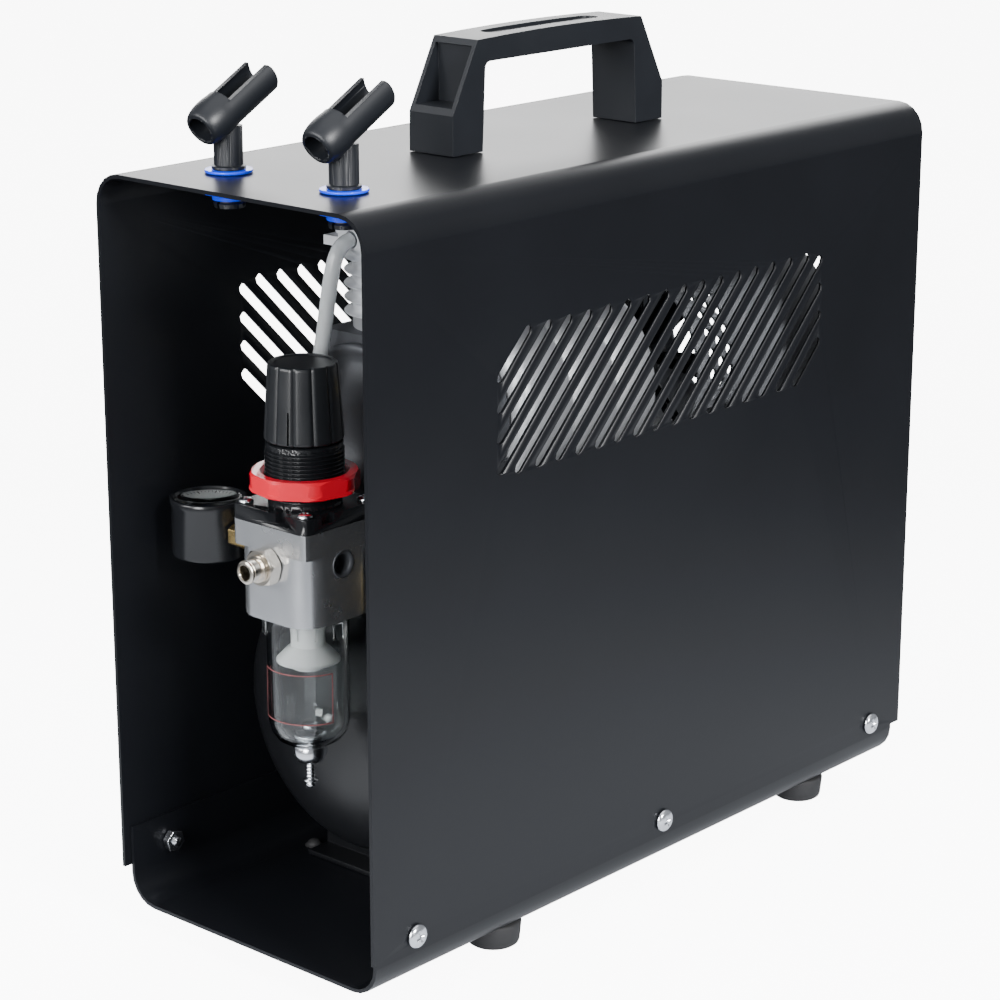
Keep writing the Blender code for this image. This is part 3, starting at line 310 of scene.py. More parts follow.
polished = wandering("black_plastic", (0.0060, 0.0065, 0.0078), (0.0105, 0.0115, 0.0135), 0.19, 0.07, 80)
polished.relief(polished.noise(900, 2), 0.00001, 0.4)
FINISH["black_plastic"] = polished

fluted = wandering("knob_plastic", (0.010, 0.011, 0.013), (0.015, 0.0165, 0.019), 0.30, 0.08, 90)
fluted.relief(fluted.noise(2200, 2), 0.00002, 0.5)

red = wandering("red_plastic", (0.64, 0.004, 0.020), (0.76, 0.009, 0.032), 0.16, 0.06, 70)
red.relief(red.noise(700, 2), 0.00001, 0.4)
red.shade(Coat_Weight=0.5)
FINISH["red_plastic"] = red

blue = wandering("blue_bush", (0.004, 0.030, 0.80), (0.010, 0.07, 0.95), 0.16, 0.06, 120)
blue.relief(blue.noise(900, 2), 0.00001, 0.4)
# Painted glow: a faint blue emission stands in for the light that scatters through the translucent bush and
# for its glints
blue.shade(Emission_Color=(0.0, 0.08, 1.0), Emission_Strength=0.25)
FINISH["blue_bush"] = blue

white = wandering("white_plastic", (0.88, 0.88, 0.87), (0.94, 0.94, 0.93), 0.32, 0.10, 90)
white.relief(white.noise(1500, 2), 0.00001, 0.5)
FINISH["white_plastic"] = white

clear = wandering("clear_plastic", (0.93, 0.97, 0.97), (0.97, 0.99, 0.99), 0.015, 0.03, 60)
clear.relief(clear.noise(160, 2), 0.00002, 0.4)
clear.shade(Transmission_Weight=1.0, IOR=1.49)
FINISH["clear_plastic"] = clear

milky = wandering("hose_plastic", (0.72, 0.75, 0.77), (0.80, 0.83, 0.84), 0.12, 0.05, 60)
milky.relief(milky.noise(160, 2), 0.00002, 0.4)
milky.shade(Transmission_Weight=0.55, IOR=1.45)

rubber = wandering("black_rubber", (0.012, 0.012, 0.013), (0.022, 0.022, 0.024), 0.62, 0.15, 120)
rubber.relief(rubber.noise(1300, 3), 0.00006, 0.7)
FINISH["black_rubber"] = rubber
print(len(FINISH), "finishes for the record's slots")

# %% [markdown]
# ## Helpers for the workshop
# Most parts of a compressor are turned, punched or cast. Four helpers copy those trades: a
# lathe that spins a profile, a punch that extrudes an outline, a saw that takes one shape
# from another, and a file that breaks the sharp edges. Lengths are in millimetres, as on a
# drawing, and a seat says where the piece's own zero sits in the frame.

# %% Lathe, punch and saw
MM = 0.001
TO_METRES = Matrix.Scale(MM, 4)
UP = Matrix.Identity(4)
FORWARD = Matrix.Rotation(math.radians(90), 4, "X")        # a piece's Z looks out of the front
RIGHTWARD = Matrix.Rotation(math.radians(90), 4, "Y")      # a piece's Z looks out of the right side


def seat_at(x, y, z, turn=UP):
    """A seat at a point in millimetres."""
    return Matrix.Translation((x * MM, y * MM, z * MM)) @ turn


def close_up(bm, seat):
    """Merges doubles, points the faces outwards and moves the shape to its seat."""
    bmesh.ops.remove_doubles(bm, verts=bm.verts, dist=1e-4)
    bmesh.ops.recalc_face_normals(bm, faces=bm.faces)
    bmesh.ops.transform(bm, matrix=seat @ TO_METRES, verts=bm.verts)
    mesh = bpy.data.meshes.new("blank")
    bm.to_mesh(mesh)
    bm.free()
    return mesh


def lathe(profile, seat=UP, steps=64, ring=False):
    """Spins (radius, height) points about Z. A ring's profile is closed and clear of the axis."""
    bm = bmesh.new()
    points = [bm.verts.new((radius, 0, height)) for radius, height in profile]
    pairs = list(zip(points, points[1:])) + ([(points[-1], points[0])] if ring else [])
    edges = [bm.edges.new(pair) for pair in pairs]
    bmesh.ops.spin(bm, geom=points + edges, cent=(0, 0, 0), axis=(0, 0, 1), angle=math.tau,
                   steps=steps, use_merge=True)
    return close_up(bm, seat)


def punch(outline, low, high, seat=UP):
    """Extrudes a flat outline from one height to another."""
    bm = bmesh.new()
    face = bm.faces.new([bm.verts.new((x, y, low)) for x, y in outline])
    top = bmesh.ops.extrude_face_region(bm, geom=[face])["geom"]
    raised = [v for v in top if isinstance(v, bmesh.types.BMVert)]
    bmesh.ops.translate(bm, vec=(0, 0, high - low), verts=raised)
    return close_up(bm, seat)


def scored(mesh, *lines):
    """Scores lines across a mesh: each is a point and a normal, and adds edges only."""
    bm = bmesh.new()
    bm.from_mesh(mesh)
    for point, normal in lines:
        bmesh.ops.bisect_plane(bm, geom=bm.verts[:] + bm.edges[:] + bm.faces[:], dist=1e-7,
                               plane_co=point, plane_no=normal)
    bm.to_mesh(mesh)
    bm.free()
    return mesh


def ring_points(radius, count, start=0.0):
    """Points round a circle."""
    angles = [math.radians(start) + math.tau * index / count for index in range(count)]
    return [(radius * math.cos(angle), radius * math.sin(angle)) for angle in angles]


def block(size, seat=UP):
    bm = bmesh.new()
    bmesh.ops.create_cube(bm, size=1, matrix=Matrix.Diagonal((*size, 1)))
    return close_up(bm, seat)


def soft_block(size, radius, seat=UP):
    """A block whose edges are rounded all round, as on a moulded box."""
    bm = bmesh.new()
    bmesh.ops.create_cube(bm, size=1, matrix=Matrix.Diagonal((*size, 1)))
    bmesh.ops.bevel(bm, geom=bm.edges[:], offset=radius, segments=3, profile=0.5, affect="EDGES",
                    material=-1)
    return close_up(bm, seat)


def bare(mesh):
    """A mesh as an object that nothing rides on yet."""
    piece = bpy.data.objects.new("blank", mesh)
    bpy.context.scene.collection.objects.link(piece)
    return piece


def saw(mesh, *cutters, operation="DIFFERENCE"):
    """Takes the cutters from a mesh, or adds them to it, and returns the new mesh."""
    work = bare(mesh)
    tools = [bare(cutter) for cutter in cutters]
    for tool in tools:
        modifier = work.modifiers.new("saw", "BOOLEAN")
        modifier.operation = operation
        modifier.solver = "EXACT"
        modifier.object = tool
    graph = bpy.context.evaluated_depsgraph_get()
    result = bpy.data.meshes.new_from_object(work.evaluated_get(graph))
    for used in [work, *tools]:
        bpy.data.objects.remove(used)
    return result


def bundle(*meshes):
    """Several loose shapes as one mesh."""
    bm = bmesh.new()
    for mesh in meshes:
        bm.from_mesh(mesh)
    joined = bpy.data.meshes.new("bundle")
    bm.to_mesh(joined)
    bm.free()
    return joined


# %% File the edges and fit the piece
def file_edges(piece, width=0.25, segments=2, angle=30):
    """Breaks edges sharper than the angle, and shades flat faces flat."""
    if width:
        bevel = piece.modifiers.new("filed_edges", "BEVEL")
        bevel.width = width * MM
        bevel.segments = segments
        bevel.limit_method = "ANGLE"
        bevel.angle_limit = math.radians(angle)
        bevel.miter_outer = "MITER_ARC"
    piece.modifiers.new("flat_faces", "WEIGHTED_NORMAL")
    return piece


def fit(name, mesh, body="case", finish=None, slot=None):
    """Makes a mesh a piece that rides on a body."""
    piece = bpy.data.objects.new(name, mesh)
    bpy.context.scene.collection.objects.link(piece)
    mesh.materials.clear()
    mesh.materials.append((finish or FINISH[slot]).material)
    mesh.shade_smooth()
    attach(piece, body)
    return piece


def stand_in(node, name, mesh, finish=None):
    """Fits a piece in the place of a CAD node, on its body and with its slot."""
    piece = fit(name, mesh, BODY_OF[node], finish, SLOT_OF[node])
    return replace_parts(piece, node)


def cleaned(node, whole_faces=True):
    """A copy of a CAD node's mesh, with its triangles merged and joined into whole faces."""
    bm = bmesh.new()
    bm.from_mesh(frame["nodes"][node].data)
    bmesh.ops.remove_doubles(bm, verts=bm.verts, dist=1e-6)
    if whole_faces:
        bmesh.ops.dissolve_limit(bm, angle_limit=math.radians(0.5), verts=bm.verts,
                                 edges=bm.edges)
    mesh = bpy.data.meshes.new(node)
    bm.to_mesh(mesh)
    bm.free()
    return mesh


def middle(node):
    """The centre of a CAD node's box in millimetres."""
    low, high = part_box(node)
    return (low + high) / 2 / MM


def heights(node):
    """A CAD node's lowest and highest point in millimetres."""
    low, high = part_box(node)
    return low.z / MM, high.z / MM


print("workshop helpers ready")

# %% [markdown]
# ## The case
# The cover and the tray are sheet steel, cut, punched and then folded. The CAD part has
# every fold and slot but knife-sharp edges, and a sharp edge never catches light. A merged
# copy with its edges filed by a third of a millimetre gives the thin bright lines that a
# cut sheet shows under its coat.

# %% Cover and tray
def file_rim(piece, width):
    """Files only the outer rim of a sheet, and leaves its punched slots crisp."""
    low = [min(v.co[axis] for v in piece.data.vertices) for axis in range(3)]
    high = [max(v.co[axis] for v in piece.data.vertices) for axis in range(3)]
    bm = bmesh.new()
    bm.from_mesh(piece.data)
    layers = bm.edges.layers.float
    weight = layers.get("bevel_weight_edge") or layers.new("bevel_weight_edge")
    near = 1e-5
    filed = 0
    for edge in bm.edges:
        sharp = len(edge.link_faces) == 2 and edge.calc_face_angle() > math.radians(50)
        ends = [v.co for v in edge.verts]
        at_end = any(all(abs(co.y - limit) < near for co in ends) for limit in (low[1], high[1]))
        at_foot = all(min(abs(co.z - low[2]), abs(co.z - high[2])) < near for co in ends)
        if sharp and (at_end or at_foot):
            edge[weight] = 1.0
            filed += 1
    bm.to_mesh(piece.data)
    bm.free()
    file_edges(piece, width, 2)
    piece.modifiers["filed_edges"].limit_method = "WEIGHT"
    return filed


FOLD = 12.6 * MM
for node, name in (("top_cover", "case_cover"), ("base_tray", "case_tray")):
    low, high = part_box(node)
    fold_height = high.z - FOLD if node == "top_cover" else low.z + FOLD
    lines = [((0, 0, fold_height), (0, 0, 1)), ((low.x + FOLD, 0, 0), (1, 0, 0)),
             ((high.x - FOLD, 0, 0), (1, 0, 0))]
    piece = stand_in(node, name, scored(cleaned(node, whole_faces=False), *lines))
    print(name, "has", file_rim(piece, 0.35), "filed edges")

# %% [markdown]
# ## Screws and feet
# A pan head screw is a low dome over a short shank, with a cross recess sawn into it. The
# recess is two tapered bars at right angles, because a square-bottomed cross looks stamped
# rather than forged. One head serves everywhere, and is only scaled to its size.

# %% One pan head screw
def pan_head(radius, height, seat, shank=3.0):
    """A screw whose head stands on the seat, with the shank below."""
    dome = [(radius * math.sin(math.radians(angle)), height * math.cos(math.radians(angle)) ** 0.7)
            for angle in range(0, 86, 12)]
    shank_radius = radius * 0.42
    profile = dome + [(radius, height * 0.14), (radius * 0.96, 0), (shank_radius, 0),
                      (shank_radius, -shank), (0, -shank)]
    head = lathe(profile, steps=40)
    wide, narrow, bar_half = radius * 0.62, radius * 0.28, radius * 0.11
    top, floor_height = height * 1.5, height * 0.18
    taper = [(-wide, top), (wide, top), (narrow, floor_height), (-narrow, floor_height)]
    bars = []
    for turn in (20, 110):
        bar_seat = Matrix.Rotation(math.radians(turn), 4, "Z") @ FORWARD
        bars.append(punch(taper, -bar_half, bar_half, bar_seat))
    crossed = saw(head, *bars)
    crossed.transform(seat)
    return crossed


SIDE_FACE = 67.8
SIDES = (("left", -1), ("right", 1))
for side, outward in SIDES:
    for place in ("front", "middle", "rear"):
        node = f"cover_screw_{side}_{place}"
        centre = middle(node)
        outwards = Matrix.Rotation(math.radians(90 * outward), 4, "Y")
        spot = seat_at(SIDE_FACE * outward, centre.y, centre.z, outwards)
        stand_in(node, f"case_screw_{side}_{place}", pan_head(4.6, 2.35, spot, 8.0))
print("six case screws")

# %% Hexagon nuts inside the tray
TRAY_INSIDE = 63.9
SCREW_HEIGHT = 30
for side, outward in SIDES:
    for place, y in (("front", -143), ("middle", 0), ("rear", 143)):
        inwards = Matrix.Rotation(math.radians(-90 * outward), 4, "Y")
        spot = seat_at(outward * TRAY_INSIDE, y, SCREW_HEIGHT, inwards)
        nut = punch(ring_points(4.6, 6, 15), 0, 3.0, spot)
        hole = punch(ring_points(2.3, 20), -1, 4.0, spot)
        file_edges(fit(f"tray_nut_{side}_{place}", saw(nut, hole), "case", slot="bright_zinc"), 0.3)
print("six nuts behind them")

# %% Rubber feet
FOOT_PROFILE = [(0, 14.3), (1.6, 14.2), (3.9, 11.9), (2.5, 11.7), (2.5, 9.7), (9.9, 9.7),
                (10.6, 9.3), (10.9, 8.6), (10.2, 1.6), (9.8, 0.6), (9.0, 0.0), (6.2, 0.0),
                (5.6, 0.8), (0, 0.8)]
for row in ("front", "rear"):
    for side in ("left", "right"):
        node = f"foot_{row}_{side}"
        centre = middle(node)
        foot = lathe(FOOT_PROFILE, seat_at(centre.x, centre.y, 0), 48)
        stand_in(node, f"rubber_foot_{row}_{side}", foot)
print("four rubber feet")

# %% [markdown]
# ## Carry handle
# The handle is one moulding: an arch with a pocket in each leaning face, which saves plastic
# and cools evenly. Moulded edges are rounder than cut ones, so it is filed wider than the
# sheets, and the long groove on top keeps the edges of its CAD shape.

# %% Handle
handle = stand_in("carry_handle", "grip_handle", cleaned("carry_handle"))
file_edges(handle, 0.35, 2, 40)
low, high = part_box("carry_handle")
SHEET_TOP = 296.0
SHEET_UNDER = 293.9
DOWNWARD = Matrix.Rotation(math.pi, 4, "X")
for end, y in (("front", low.y / MM + 8.2), ("rear", high.y / MM - 8.2)):
    screw = pan_head(3.4, 1.7, seat_at(0, y, SHEET_UNDER, DOWNWARD), 6.0)
    fit(f"grip_screw_{end}", screw, "case", slot="bright_zinc")
print("handle and its two screws under the sheet")

# %% [markdown]
# ## Airbrush holders
# A holder is a tube whose top is open, on a stem that turns in a blue bush. The real one is
# injected in one shot, with a rounded low end that narrows to a hole for the airbrush's
# nozzle. It is built the way that a model maker would: turn the tube, weld the stem, then
# saw the trough out, and round the two tips with a cylinder across them.

# %% Turn, weld and saw the holders
TILT = math.radians(29)
CUP_LENGTH = 35.4
TROUGH_START = 13.0
TROUGH_WALL = 4.5


def tip_rounder(tilted):
    """What a cutter takes off the tips, so that they end in a quarter round from the side."""
    radius = 6.4
    arc = [(-TROUGH_WALL - radius * math.cos(math.radians(a)) + radius - 3.2,
            CUP_LENGTH - radius + radius * math.sin(math.radians(a))) for a in range(0, 91, 15)]
    outside, beyond = -12, CUP_LENGTH + 2
    outline = [(outside, CUP_LENGTH - radius)] + arc + [(arc[-1][0], beyond), (outside, beyond)]
    sideways = tilted @ Matrix.Rotation(math.radians(90), 4, "Z") @ FORWARD
    return punch(outline, -10, 10, sideways)


def holder_mesh(spot):
    """One holder, on a seat where its stem meets the sheet."""
    tilted = spot @ seat_at(0, -13.2, 16.7) @ Matrix.Rotation(TILT - math.radians(90), 4, "X")
    nose = [(0, 0), (5.8, 0.05), (6.4, 0.3), (6.8, 0.9), (7.3, 2.2), (7.7, 4.2), (7.85, 6.6),
            (7.8, 9.0), (7.5, 12.0)]
    cup = lathe(nose + [(7.5, CUP_LENGTH - 0.6), (7.1, CUP_LENGTH), (0, CUP_LENGTH)], tilted, 72)
    stem = lathe([(0, 17), (5.3, 17), (5.3, 3.0), (6.2, 2.6), (6.2, 1.7), (5.3, 1.6), (5.3, -10.2),
                  (5.9, -10.8), (5.5, -12.4), (0, -12.4)], spot, 56)
    body = saw(cup, stem, operation="UNION")
    bore = lathe([(0, CUP_LENGTH + 2), (6.1, CUP_LENGTH + 2), (6.1, 12.6), (5.8, 10.6), (5.0, 8.8),
                  (4.7, 8.0), (4.7, 0.6), (5.2, -0.2), (5.2, -2), (0, -2)], tilted, 60)
    mouth = block((20, 12, 30), tilted @ seat_at(0, -TROUGH_WALL - 6, TROUGH_START + 15))
    split = block((1.2, 14, 8), spot @ seat_at(0, 0, -12))
    return saw(body, bore, mouth, split, tip_rounder(tilted))


for side in ("left", "right"):
    bush = middle(f"holder_bush_{side}")
    spot = seat_at(bush.x, bush.y, SHEET_TOP)
    holder = stand_in(f"holder_{side}", f"airbrush_holder_{side}", holder_mesh(spot))
    file_edges(holder, 0.45, 3, 38)
    flange = lathe([(5.62, 1.0), (5.9, 1.35), (6.6, 1.4), (8.1, 1.2), (8.6, 1.35), (8.75, 1.1),
                    (8.75, 0.55), (8.5, 0.32), (6.3, 0.32), (6.3, -9.6), (5.62, -9.6)],
                   spot, 64, ring=True)
    stand_in(f"holder_bush_{side}", f"blue_bush_{side}", flange)
    nut = punch(ring_points(9.2, 6), -7.8, -1.8, spot)
    hole = punch(ring_points(6.6, 48), -9, 0, spot)
    file_edges(stand_in(f"bush_nut_{side}", f"blue_nut_{side}", saw(nut, hole)), 0.5)
print("two holders, blue bushes and nuts")

# %% [markdown]
# ## Filter regulator
# The regulator is the jewel of the machine: a cast body, a black bonnet with a threaded
# neck, a red ring nut on that thread, and a fluted knob. Everything shares one upright
# axis, so all of it is turned about the same seat and only the heights differ.

# %% Axis and heights
AXIS = middle("pressure_knob")
upright = seat_at(AXIS.x, AXIS.y, 0)
plate_low = heights("regulator_bonnet")[0]
ring_low, ring_high = heights("regulator_ring")
knob_low, knob_high = heights("pressure_knob")
PORT_HEIGHT = 159
print("regulator axis at", round(AXIS.x, 1), round(AXIS.y, 1), "and knob", round(knob_low, 1), "to",
      round(knob_high, 1))

# %% Cast body
cast_body = stand_in("regulator_body", "cast_body", cleaned("regulator_body"))
file_edges(cast_body, 0.5, 2, 40)
BODY_HALF = 19
port_seat = seat_at(AXIS.x + BODY_HALF, AXIS.y, PORT_HEIGHT, RIGHTWARD)
port = lathe([(5.3, -0.7), (5.3, 0.1), (5.0, 0.25), (4.2, -0.3), (3.6, -0.8), (3.9, -1.3),
              (3.5, -1.8), (3.9, -2.3), (3.5, -2.8), (3.9, -3.3), (3.5, -3.8), (3.9, -4.3),
              (3.5, -4.8), (3.5, -5.6), (4.1, -5.6), (4.1, -0.7)], port_seat, 40, ring=True)
fit("side_port_thread", port, "case", slot="pump_cast")
print("cast body with a threaded port in its side")

# %% [markdown]
# The bonnet's plate is a square with four screws, and its neck is threaded for the ring. A
# real thread climbs, but at this size the eye only counts its ridges, so the neck is turned
# as a stack of ridges with the right pitch. The pocket beside the front corner is where the
# ejector of the mould pressed.

# %% Bonnet, its screws and the threaded neck
PLATE_HALF = 19.0
PLATE_TOP = plate_low + 5.5
NECK_TOP = plate_low + 28.8
CORNER = 2.5
CORNERS = ((1, 1), (-1, 1), (-1, -1), (1, -1))
rounded = [(sx * (PLATE_HALF - CORNER) + CORNER * math.cos(math.radians(a)),
            sy * (PLATE_HALF - CORNER) + CORNER * math.sin(math.radians(a)))
           for quarter, (sx, sy) in enumerate(CORNERS)
           for a in range(90 * quarter, 90 * quarter + 91, 30)]
plate = punch(rounded, plate_low, PLATE_TOP, upright)
THREAD_PITCH = 1.5
neck = [(0, NECK_TOP + 14.6), (10.0, NECK_TOP + 14.6), (10.6, NECK_TOP + 14.0), (10.6, NECK_TOP)]
neck += [(13.6, NECK_TOP), (14.2, NECK_TOP - 0.5), (14.2, NECK_TOP - 1.4), (13.7, NECK_TOP - 1.8),
         (13.7, NECK_TOP - 2.6)]
height = NECK_TOP - 2.8
ridges = 0
while height > PLATE_TOP + 3.4:
    neck += [(14.6, height - 0.30), (14.6, height - 0.62), (13.85, height - 1.0),
             (13.85, height - THREAD_PITCH)]
    height -= THREAD_PITCH
    ridges += 1
neck += [(13.6, PLATE_TOP + 2.0), (13.6, plate_low + 1), (0, plate_low + 1)]
bonnet = saw(plate, lathe(neck, upright, 96), operation="UNION")
pocket = block((5.2, 3.6, 4.2), upright @ seat_at(6.6, -17.6, PLATE_TOP - 1.0))
recess = block((3.0, 6.4, 4.2), upright @ seat_at(17.9, -7.4, PLATE_TOP - 1.0))
bore = punch(ring_points(8.8, 32), plate_low - 2, plate_low + 32, upright)
stem_hole = punch(ring_points(3.2, 24), plate_low, plate_low + 60, upright)
bonnet_piece = stand_in("regulator_bonnet", "bonnet", saw(bonnet, bore, stem_hole, pocket, recess))
file_edges(bonnet_piece, 0.2, 1, 50)
SCREW_REACH = 15.2
for index, (sx, sy) in enumerate(CORNERS):
    spot = seat_at(AXIS.x + sx * SCREW_REACH, AXIS.y + sy * SCREW_REACH, PLATE_TOP + 0.1)
    screw = pan_head(2.9, 1.7, spot, 3.5)
    fit(f"bonnet_screw_{index + 1}", screw, "case", slot="bright_zinc")
print("bonnet with", ridges, "thread ridges and", len(CORNERS), "screws")

# %% Red ring nut
spot = seat_at(AXIS.x, AXIS.y, 0, Matrix.Rotation(math.radians(11), 4, "Z"))
FLATS = 8
blank_ring = punch(ring_points(20.9, FLATS), ring_low, ring_high, spot)
inside = lathe([(0, ring_low - 1), (14.9, ring_low - 1), (14.9, ring_high - 1.0),
                (16.1, ring_high - 0.35), (16.4, ring_high + 0.1), (16.4, ring_high + 1),
                (0, ring_high + 1)], upright, 72)
turned_rim = lathe([(0, ring_low), (20.0, ring_low), (20.45, ring_low + 0.5),
                    (20.45, ring_low + 1.2), (19.95, ring_low + 1.7), (20.1, ring_high - 1.1),
                    (19.3, ring_high), (0, ring_high)], upright, 96)
ring = saw(saw(blank_ring, turned_rim, operation="INTERSECT"), inside)
file_edges(stand_in("regulator_ring", "red_ring_nut", ring), 0.3, 2, 30)
print("red ring nut with", FLATS, "flats")

# %% [markdown]
# The knob tapers towards its top and has shallow vertical hollows that the fingers find.
# Its outline is a circle whose radius drops in each hollow. The same outline is used at
# every height and only scaled, which is what a tapered mould does.

# %% Fluted knob
FLUTES = 12
OUTLINE_POINTS = 144
LEVELS = ((0.0, 0.965), (0.5, 0.995), (1.4, 1.0), (27.0, 0.884), (28.0, 0.868), (28.45, 0.83))
FLUTE_TOP = 28.3
FLUTE_DEPTH, FLUTE_HALF = 0.55, 0.10
KNOB_RADIUS = 14.55


def flute_depth(turn):
    """How deep the outline dips: a narrow groove between broad, flat ribs."""
    phase = (turn * FLUTES) % 1.0
    away = min(phase, 1 - phase)
    return FLUTE_DEPTH * max(0.0, 1 - (away / FLUTE_HALF) ** 2)


bm = bmesh.new()
loops = []
for height, scale in LEVELS:
    flute = 0.0 if height > FLUTE_TOP else 1.0
    loop = []
    for index in range(OUTLINE_POINTS):
        turn = index / OUTLINE_POINTS
        radius = KNOB_RADIUS * scale - flute * flute_depth(turn)
        loop.append(bm.verts.new((radius * math.cos(math.tau * turn), radius * math.sin(math.tau * turn),
                                  knob_low + height)))
    loops.append([bm.edges.new((a, b)) for a, b in zip(loop, loop[1:] + loop[:1])])
for lower, upper in zip(loops, loops[1:]):
    bmesh.ops.bridge_loops(bm, edges=lower + upper)
bmesh.ops.contextual_create(bm, geom=loops[0])
bmesh.ops.contextual_create(bm, geom=loops[-1])
blank_knob = close_up(bm, upright)
dish = lathe([(0, knob_high - 0.5), (10.4, knob_high - 0.5), (11.0, knob_high + 0.3),
              (11.0, knob_high + 2), (0, knob_high + 2)], upright, 72)
HUB_LOW, HOLLOW_TOP = 221, 225
hollow = lathe([(0, knob_low - 1), (11.2, knob_low - 1), (11.2, HOLLOW_TOP), (6, HOLLOW_TOP),
                (6, HUB_LOW), (4.3, HUB_LOW), (4.3, HOLLOW_TOP + 1), (0, HOLLOW_TOP + 1)],
               upright, 48)
slit_turn = Matrix.Rotation(math.radians(-68), 4, "Z")
slit = block((3.0, 0.7, 12), upright @ slit_turn @ seat_at(14.3, 0, knob_low + 6.5))
knob = saw(blank_knob, dish, hollow, slit)
file_edges(stand_in("pressure_knob", "pressure_cap", knob, fluted), 0.2, 1, 50)
print("knob with", FLUTES, "hollows")

# %% [markdown]
# ## Air outlet
# The outlet is nickel plated brass: a hexagon for the spanner, a collar and a short tube
# that the airbrush hose pushes over. A hexagon cut from round bar keeps the round of the bar
# at its corners, so it is the part that a hexagon and a shallow cone share.

# %% Hexagon, collar and tube
OUTLET_LENGTH = 11.9
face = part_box("outlet_nipple")[0].y / MM + OUTLET_LENGTH
outlet_seat = seat_at(AXIS.x, face, PORT_HEIGHT, FORWARD)
hexagon = punch(ring_points(7.4, 6, 12), 0, 5, outlet_seat)
cone = lathe([(0, -0.01), (6.7, -0.01), (7.4, 0.7), (7.4, 4.0), (6.4, 5.01), (0, 5.01)],
             outlet_seat, 64)
stem = lathe([(0, OUTLET_LENGTH), (3.6, OUTLET_LENGTH), (4.3, 11.5), (4.45, 10.9), (4.3, 10.3),
              (4.0, 10.0), (4.0, 6.6), (5.0, 6.4), (5.0, 5.4), (4.6, 4.9), (0, 4.9)],
             outlet_seat, 56)
outlet = saw(saw(hexagon, cone, operation="INTERSECT"), stem, operation="UNION")
bore = lathe([(0, 13), (3.1, 13), (2.9, 11.5), (2.5, 10.8), (2.5, -1), (0, -1)], outlet_seat, 40)
outlet = saw(outlet, bore)
file_edges(stand_in("outlet_nipple", "air_outlet", outlet), 0.2, 2, 35)
print("air outlet")

# %% [markdown]
# ## Pressure gauge
# The gauge faces upwards, on a brass link from the side of the body. Its case is a shallow
# can, its lens a thick clear disc, and the dial has a scale of plain marks from zero to full
# over three quarters of a turn. The marks are thin raised strips, so they need no picture.

# %% Gauge case, lens and dial
GAUGE = middle("gauge_case")
gauge_low, gauge_high = heights("gauge_case")
gauge_seat = seat_at(GAUGE.x, GAUGE.y, 0)
can = [(0, gauge_low + 1.5), (11.5, gauge_low + 1.5), (11.5, gauge_high - 4.6), (13.4, gauge_high - 4.6),
       (13.4, gauge_high - 0.2), (13.7, gauge_high), (14.4, gauge_high), (14.7, gauge_high - 0.3),
       (14.7, gauge_high - 2.4), (14.3, gauge_high - 2.9), (14.3, gauge_low + 1.1), (14.0, gauge_low + 0.4),
       (13.4, gauge_low), (0, gauge_low)]
stand_in("gauge_case", "gauge_can", lathe(can, gauge_seat, 96))
lens_low = heights("gauge_lens")[0]
lens = [(0, lens_low + 0.95), (11.5, lens_low + 0.9), (12.8, lens_low + 0.75), (13.05, lens_low + 0.5),
        (13.05, lens_low), (0, lens_low)]
stand_in("gauge_lens", "gauge_window", lathe(lens, gauge_seat, 72))
dial_top = heights("gauge_dial")[1]
SWEEP = 270
MARKS = 41
ZERO_TURN = 225
SCALE_RADIUS = 11.6
marks = []
for index in range(MARKS):
    turn = Matrix.Rotation(math.radians(ZERO_TURN - SWEEP * index / (MARKS - 1)), 4, "Z")
    length, width = (2.6, 0.35) if index % 5 == 0 else (1.4, 0.18)
    mark_seat = gauge_seat @ turn @ seat_at(SCALE_RADIUS - length / 2, 0, dial_top + 0.05)
    marks.append(block((length, width, 0.1), mark_seat))
fit("dial_marks", bundle(*marks), "case", slot="black_plastic")
needle_z = heights("gauge_pointer")[0]
needle_seat = gauge_seat @ Matrix.Rotation(math.radians(ZERO_TURN), 4, "Z")
needle = punch([(-3.2, 0.7), (-3.4, 0), (-3.2, -0.7), (10.0, -0.15), (10.2, 0), (10.0, 0.15)],
               needle_z, needle_z + 0.4, needle_seat)
hub = lathe([(0, needle_z + 0.6), (1.3, needle_z + 0.6), (1.5, needle_z + 0.4), (1.5, needle_z + 0.05),
             (0.5, needle_z + 0.05), (0.5, needle_z - 2.8), (0, needle_z - 2.8)], gauge_seat, 32)
stand_in("gauge_pointer", "gauge_needle", saw(needle, hub, operation="UNION"))
print("gauge with", MARKS, "marks over", SWEEP, "degrees")

# %% Gauge link
link_low, link_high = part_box("gauge_link")
link_seat = seat_at(link_low.x / MM, GAUGE.y, PORT_HEIGHT, RIGHTWARD)
link_length = (link_high.x - link_low.x) / MM
HEXAGON_LENGTH = 18.0
hexagon = punch(ring_points(5.2, 6), 0, HEXAGON_LENGTH, link_seat)
spigot = lathe([(0, link_length), (3.9, link_length), (3.9, HEXAGON_LENGTH - 1),
                (0, HEXAGON_LENGTH - 1)], link_seat, 32)
link = saw(hexagon, spigot, operation="UNION")
file_edges(stand_in("gauge_link", "gauge_brass_link", link), 0.4)
print("brass link")

# %% [markdown]
# ## Water trap
# The bowl is thick clear plastic, so it needs a real inner wall: light that enters it is bent
# at both faces, and that is what draws the bright line along each side. Inside hang a white
# filter with slots and a baffle disc. The label is left as a plain red border.

